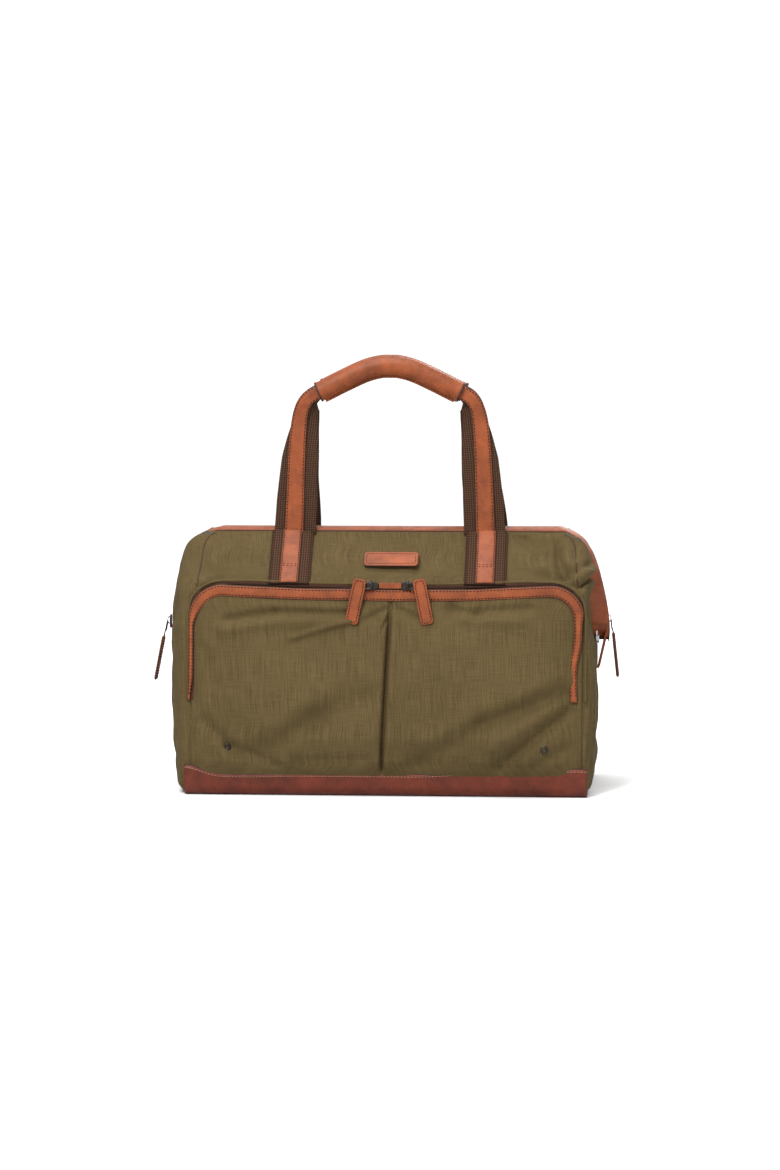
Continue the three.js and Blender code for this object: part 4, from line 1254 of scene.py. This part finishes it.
def handle(side):
    turned = rear_of if side == "rear" else (lambda p: np.asarray(p, float))
    body = f"{side}_handle"
    path = whole_handle()
    path[:, 1] = -HANDLE_Y
    if side == "rear":
        path[:, 0] += 4.5 * smooth(302, 370, path[:, 2])
    along = unit(np.gradient(path, axis=0))
    forward = np.array([0, -1.0, 0])
    outward = unit(np.cross(along, forward))
    for leg, sign in (("right", 1), ("left", -1)):
        order = np.arange(len(path)) if sign > 0 else np.arange(len(path))[::-1]
        line, out = path[order], outward[order]
        reach = int(np.argmax(np.abs(line[:, 0]) < LEG_END_X))
        line, out = line[:reach], out[:reach]
        z = line[:, 2]
        outer = np.interp(z, [244, 300, 342, 389, 412, 430, 446, 458, 468],
                          [24, 23.4, 21.6, 17.6, 13, 8.5, 6, 5, 4])
        inner = np.interp(z, [244, 300, 342, 389, 412, 436, 450, 458, 468],
                          [24.6, 25.4, 25.4, 24.4, 23.4, 22, 20, 14, 7])
        rings = []
        for t in np.linspace(-1, 1, 23):
            width = inner if t < 0 else outer
            gather = smooth(395, 450, z)
            curl = -gather * (7.5 * abs(t) ** 2.0) - 1.0 * np.sin(t * 9.0) * gather * 0.5
            rings.append(line + out * (t * width)[:, None] + forward * (1.4 + curl)[:, None])
        across_leg = turned(np.array(rings)).transpose(1, 0, 2)
        web = thick_grid(f"{side}_webbing_leg_{leg}", across_leg, 2.8, [WEBBING], flip=sign < 0)
        finish_piece(web, body, "webbing", f"{side}_webbing_{leg}")
        scale = np.ones((len(line), 2))
        scale[:, 0] = np.interp(z, [300, 342, 389, 424, 446, 466], [1.0, 0.96, 0.92, 0.85, 0.76, 0.72])
        slack = 0.5 * np.sin(z / 7.0) * smooth(395, 440, z) + 0.35 * np.sin(z / 21.0)
        strip_line = line + forward * (1.7 + slack + 2.2 * smooth(430, 462, z))[:, None]
        strip = sweep(f"{side}_leg_strip_{leg}", turned(strip_line), turned(out), turned(forward),
                      flat_profile(STRIP_WIDTH, 2.3, 0.9, 0.5), [LEATHER, EDGE], scale)
        finish_piece(strip, body, "tan_leather", f"{side}_handle_strip_{leg}")
        rows = [turned(strip_line[:-3] + out[:-3] * (scale[:-3, :1] * k) + forward * 2.5) for k in (-9.0, 9.0)]
        thread = stitches(f"{side}_leg_stitches_{leg}", rows, [turned(forward)] * 2, THREAD_DARK, 3.9, 2.8, 0.62)
        finish_piece(thread, body, "tan_leather")
        handle_foot(side, leg, sign, turned)
    handle_grip(side, turned, path, along, body)


def handle_foot(side, leg, sign, turned):
    """The webbing and leather strip sewn down the sloping top."""
    x = sign * HANDLE_X
    cross = np.array([1.0, 0, 0])
    path = foot_path(x, 2.0)
    web = sweep(f"{side}_webbing_foot_piece_{leg}", turned(path), turned(cross), turned(SLOPE_OUT),
                flat_profile(FOOT_WIDTH, 2.8, 1.0), [WEBBING, WEBBING])
    blend_mouth(web, side, "webbing", f"{side}_webbing_foot_{leg}")
    path = foot_path(x, 4.7)
    strip = sweep(f"{side}_strip_foot_piece_{leg}", turned(path), turned(cross), turned(SLOPE_OUT),
                  flat_profile(STRIP_WIDTH, 2.2, 0.9, 0.4), [LEATHER, EDGE])
    blend_mouth(strip, side, "tan_leather", f"{side}_strip_foot_{leg}")
    rows = [foot_path(x + k, 7.0) for k in (-9.4, 9.4)]
    for s in (24.0, 27.0):
        rows.append(slope_point(np.linspace(x - 9, x + 9, 12), s, 7.0))
    for k in (-22, 22):
        rows.append(foot_path(x + k, 4.9))
    thread = stitches(f"{side}_foot_stitches_{leg}", [turned(r) for r in rows], [turned(SLOPE_OUT)] * len(rows),
                      THREAD_DARK, 3.9, 2.8, 0.62)
    blend_mouth(thread, side, "tan_leather")


def handle_grip(side, turned, path, along, body):
    inside = np.abs(path[:, 0]) < GRIP_HALF_X
    line = path[inside]
    run = along[inside]
    forward = np.array([0, -1.0, 0])
    below = unit(np.cross(forward, run))
    below = np.where(below[:, 2:] > 0, -below, below)
    profile = []
    for a in np.linspace(0, 2 * math.pi, 28, endpoint=False):
        profile.append((11.2 * math.sin(a), 11.6 * math.cos(a), 0))
    lip = [(-1.9, 10.6), (-1.7, 14.4), (1.7, 14.4), (1.9, 10.6)]
    tube = sweep(f"{side}_grip_leather", turned(line), turned(forward), turned(below), profile, [LEATHER])
    finish_piece(tube, body, "tan_leather", f"{side}_grip")
    flange = sweep(f"{side}_grip_seam", turned(line[2:-2]), turned(forward), turned(below[2:-2]),
                   [(a, b, m) for (a, b), m in zip(lip, (0, 1, 0, 0))], [LEATHER, EDGE])
    finish_piece(flange, body, "tan_leather")
    rows = [turned(line[4:-4] + below[4:-4] * 13.0 + forward * k) for k in (2.05, -2.05)]
    thread = stitches(f"{side}_grip_stitches", rows, [turned(forward), turned(-forward)], THREAD_DARK, 3.8, 2.7, 0.36)
    finish_piece(thread, body, "tan_leather")
    for label, end in (("right", 0), ("left", -1)):
        pick = slice(0, 2) if end == 0 else slice(-2, None)
        cuff = sweep(f"{side}_grip_cuff_{label}", turned(line[pick]), turned(forward), turned(below[pick]),
                     [(a * 1.04, b * 1.04, 0) for a, b, _ in profile], [EDGE])
        finish_piece(cuff, body, "tan_leather")


def name_patch():
    place = hung_place(slope_point(3.6, 38.6, 2.8), (1, 0, 0), unit(slope_point(0.0, 1.0, 0) - slope_point(0.0, 0, 0)),
                       SLOPE_OUT)
    patch = outline_plate("name_patch_leather", [rounded_box(*PATCH)], 2.2, 0.6, LEATHER, place)
    blend_mouth(patch, "front", "tan_leather", "name_patch")
    rim_line = place(np.array([(a, b, 0.0) for a, b in rounded_box(*PATCH)]))
    rim = sweep("name_patch_edge", rim_line, SLOPE_OUT, np.cross(np.gradient(rim_line, axis=0), SLOPE_OUT),
                tube_profile(1.0, 8, 0.5), [EDGE], closed=True)
    blend_mouth(rim, "front", "tan_leather")
    line = np.array(rounded_box(57, 15, 2.5))
    closed = np.column_stack([np.vstack([line, line[:1]]), np.full(len(line) + 1, 1.15)])
    thread = stitches("name_patch_stitches", [place(closed)], [SLOPE_OUT], THREAD_DARK, 3.0, 2.3, 0.36)
    blend_mouth(thread, "front", "tan_leather")


# ---- Inside ----
def inside_cloth():
    """The lining hangs inside the cloth, clear of its creases, and meets it at the mouth's leather."""
    for side in ("front", "rear"):
        grid = cloth_half(side, 0.25)
        normal = grid_normals(grid) * (-1 if side == "front" else 1)
        from_seam = np.minimum(np.arange(grid.shape[1]), np.arange(grid.shape[1])[::-1])
        inset = 4.5 + 8.5 * smooth(0, 16, from_seam)[None, :] * (1 - smooth(272, 300, grid[..., 2]))
        inner = (grid - normal * inset[..., None])[4::2, ::3]
        piece = thick_grid(f"{side}_lining", inner, 0.8, [LINING], flip=side == "front")
        blend_mouth(piece, side, "lining", *(["lining"] if side == "front" else []))
    xs, ys = np.linspace(-232, 232, 40), np.linspace(-98, 98, 20)
    x, y = np.meshgrid(xs, ys)
    z = 7.4 + 0.8 * np.sin(x / 37.0) * np.cos(y / 29.0)
    floor = thick_grid("lining_floor", np.stack([x, y, z], axis=-1), 0.8, [LINING])
    finish_piece(floor, "bag_body", "lining")


# ---- Stage, light and camera ----
def stage():
    size = 9000.0
    corners = [(a * size, b * size, -0.4) for a, b in ((-1, -1), (1, -1), (1, 1), (-1, 1))]
    floor = make_mesh("studio_floor", corners, [(0, 1, 2, 3)], [floor_material("studio_paper")])
    world = bpy.data.worlds.new("studio")
    bpy.context.scene.world = world
    world.use_nodes = True
    tree = world.node_tree
    sky = tree.nodes["Background"]
    sky.inputs["Strength"].default_value = 1.16
    # the studio is white in front, behind and above, and a little dimmer off both ends of the bag
    place, split = tree.nodes.new("ShaderNodeTexCoord"), tree.nodes.new("ShaderNodeSeparateXYZ")
    aside, dim = tree.nodes.new("ShaderNodeMath"), tree.nodes.new("ShaderNodeMapRange")
    aside.operation = "ABSOLUTE"
    tree.links.new(place.outputs["Generated"], split.inputs[0])
    tree.links.new(split.outputs["X"], aside.inputs[0])
    tree.links.new(aside.outputs[0], dim.inputs["Value"])
    for key, number in (("From Min", 0.45), ("From Max", 0.9), ("To Min", 1.0), ("To Max", 0.5)):
        dim.inputs[key].default_value = number
    tree.links.new(dim.outputs["Result"], sky.inputs["Color"])
    for name, stand, energy, size_m in (("key", (-0.8, -2.3, 2.5), 122, 0.8), ("fill", (2.6, -1.8, 1.2), 20, 1.6),
                                        ("top", (-0.2, -0.3, 2.6), 50, 1.0), ("back", (0.9, 2.4, 2.0), 42, 1.2)):
        light = bpy.data.lights.new(name, "AREA")
        light.energy = energy
        light.size = size_m
        lamp = bpy.data.objects.new(name, light)
        lamp.location = stand
        lamp.rotation_euler = (Vector((0, 0, 0.2)) - Vector(stand)).to_track_quat("-Z", "Y").to_euler()
        bpy.context.scene.collection.objects.link(lamp)
    bpy.context.scene.view_settings.view_transform = "Standard"


def camera():
    data = bpy.data.cameras.new("camera")
    data.lens = 120
    data.sensor_fit = "AUTO"
    data.sensor_width = 36
    cam = bpy.data.objects.new("camera", data)
    azimuth, elevation, distance = math.radians(4.0), math.radians(4.5), 4.6135
    target = Vector((-0.0023, 0.0, 0.2371))
    offset = Vector((math.sin(azimuth) * math.cos(elevation), -math.cos(azimuth) * math.cos(elevation),
                     math.sin(elevation)))
    cam.location = target + offset * distance
    cam.rotation_euler = (-offset).to_track_quat("-Z", "Y").to_euler()
    bpy.context.scene.collection.objects.link(cam)
    bpy.context.scene.camera = cam


def carried_over():
    """CAD nodes whose own shape is right get a finished material."""
    for node, material in (("base_board", BOARD), ("front_stay", STEEL), ("rear_stay", STEEL),
                           ("frame_rivet_left", GUNMETAL), ("frame_rivet_right", GUNMETAL)):
        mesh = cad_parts[node].data
        mesh.materials.clear()
        mesh.materials.append(material)


camera()
stage()
carried_over()
body_cloth()
pocket_cloth()
pocket_trim()
pocket_zip()
pocket_eyelets()
zip_hardware()
base_wrap()
for half in ("front", "rear"):
    mouth_leather(half)
    handle(half)
end_tabs()
name_patch()
inside_cloth()
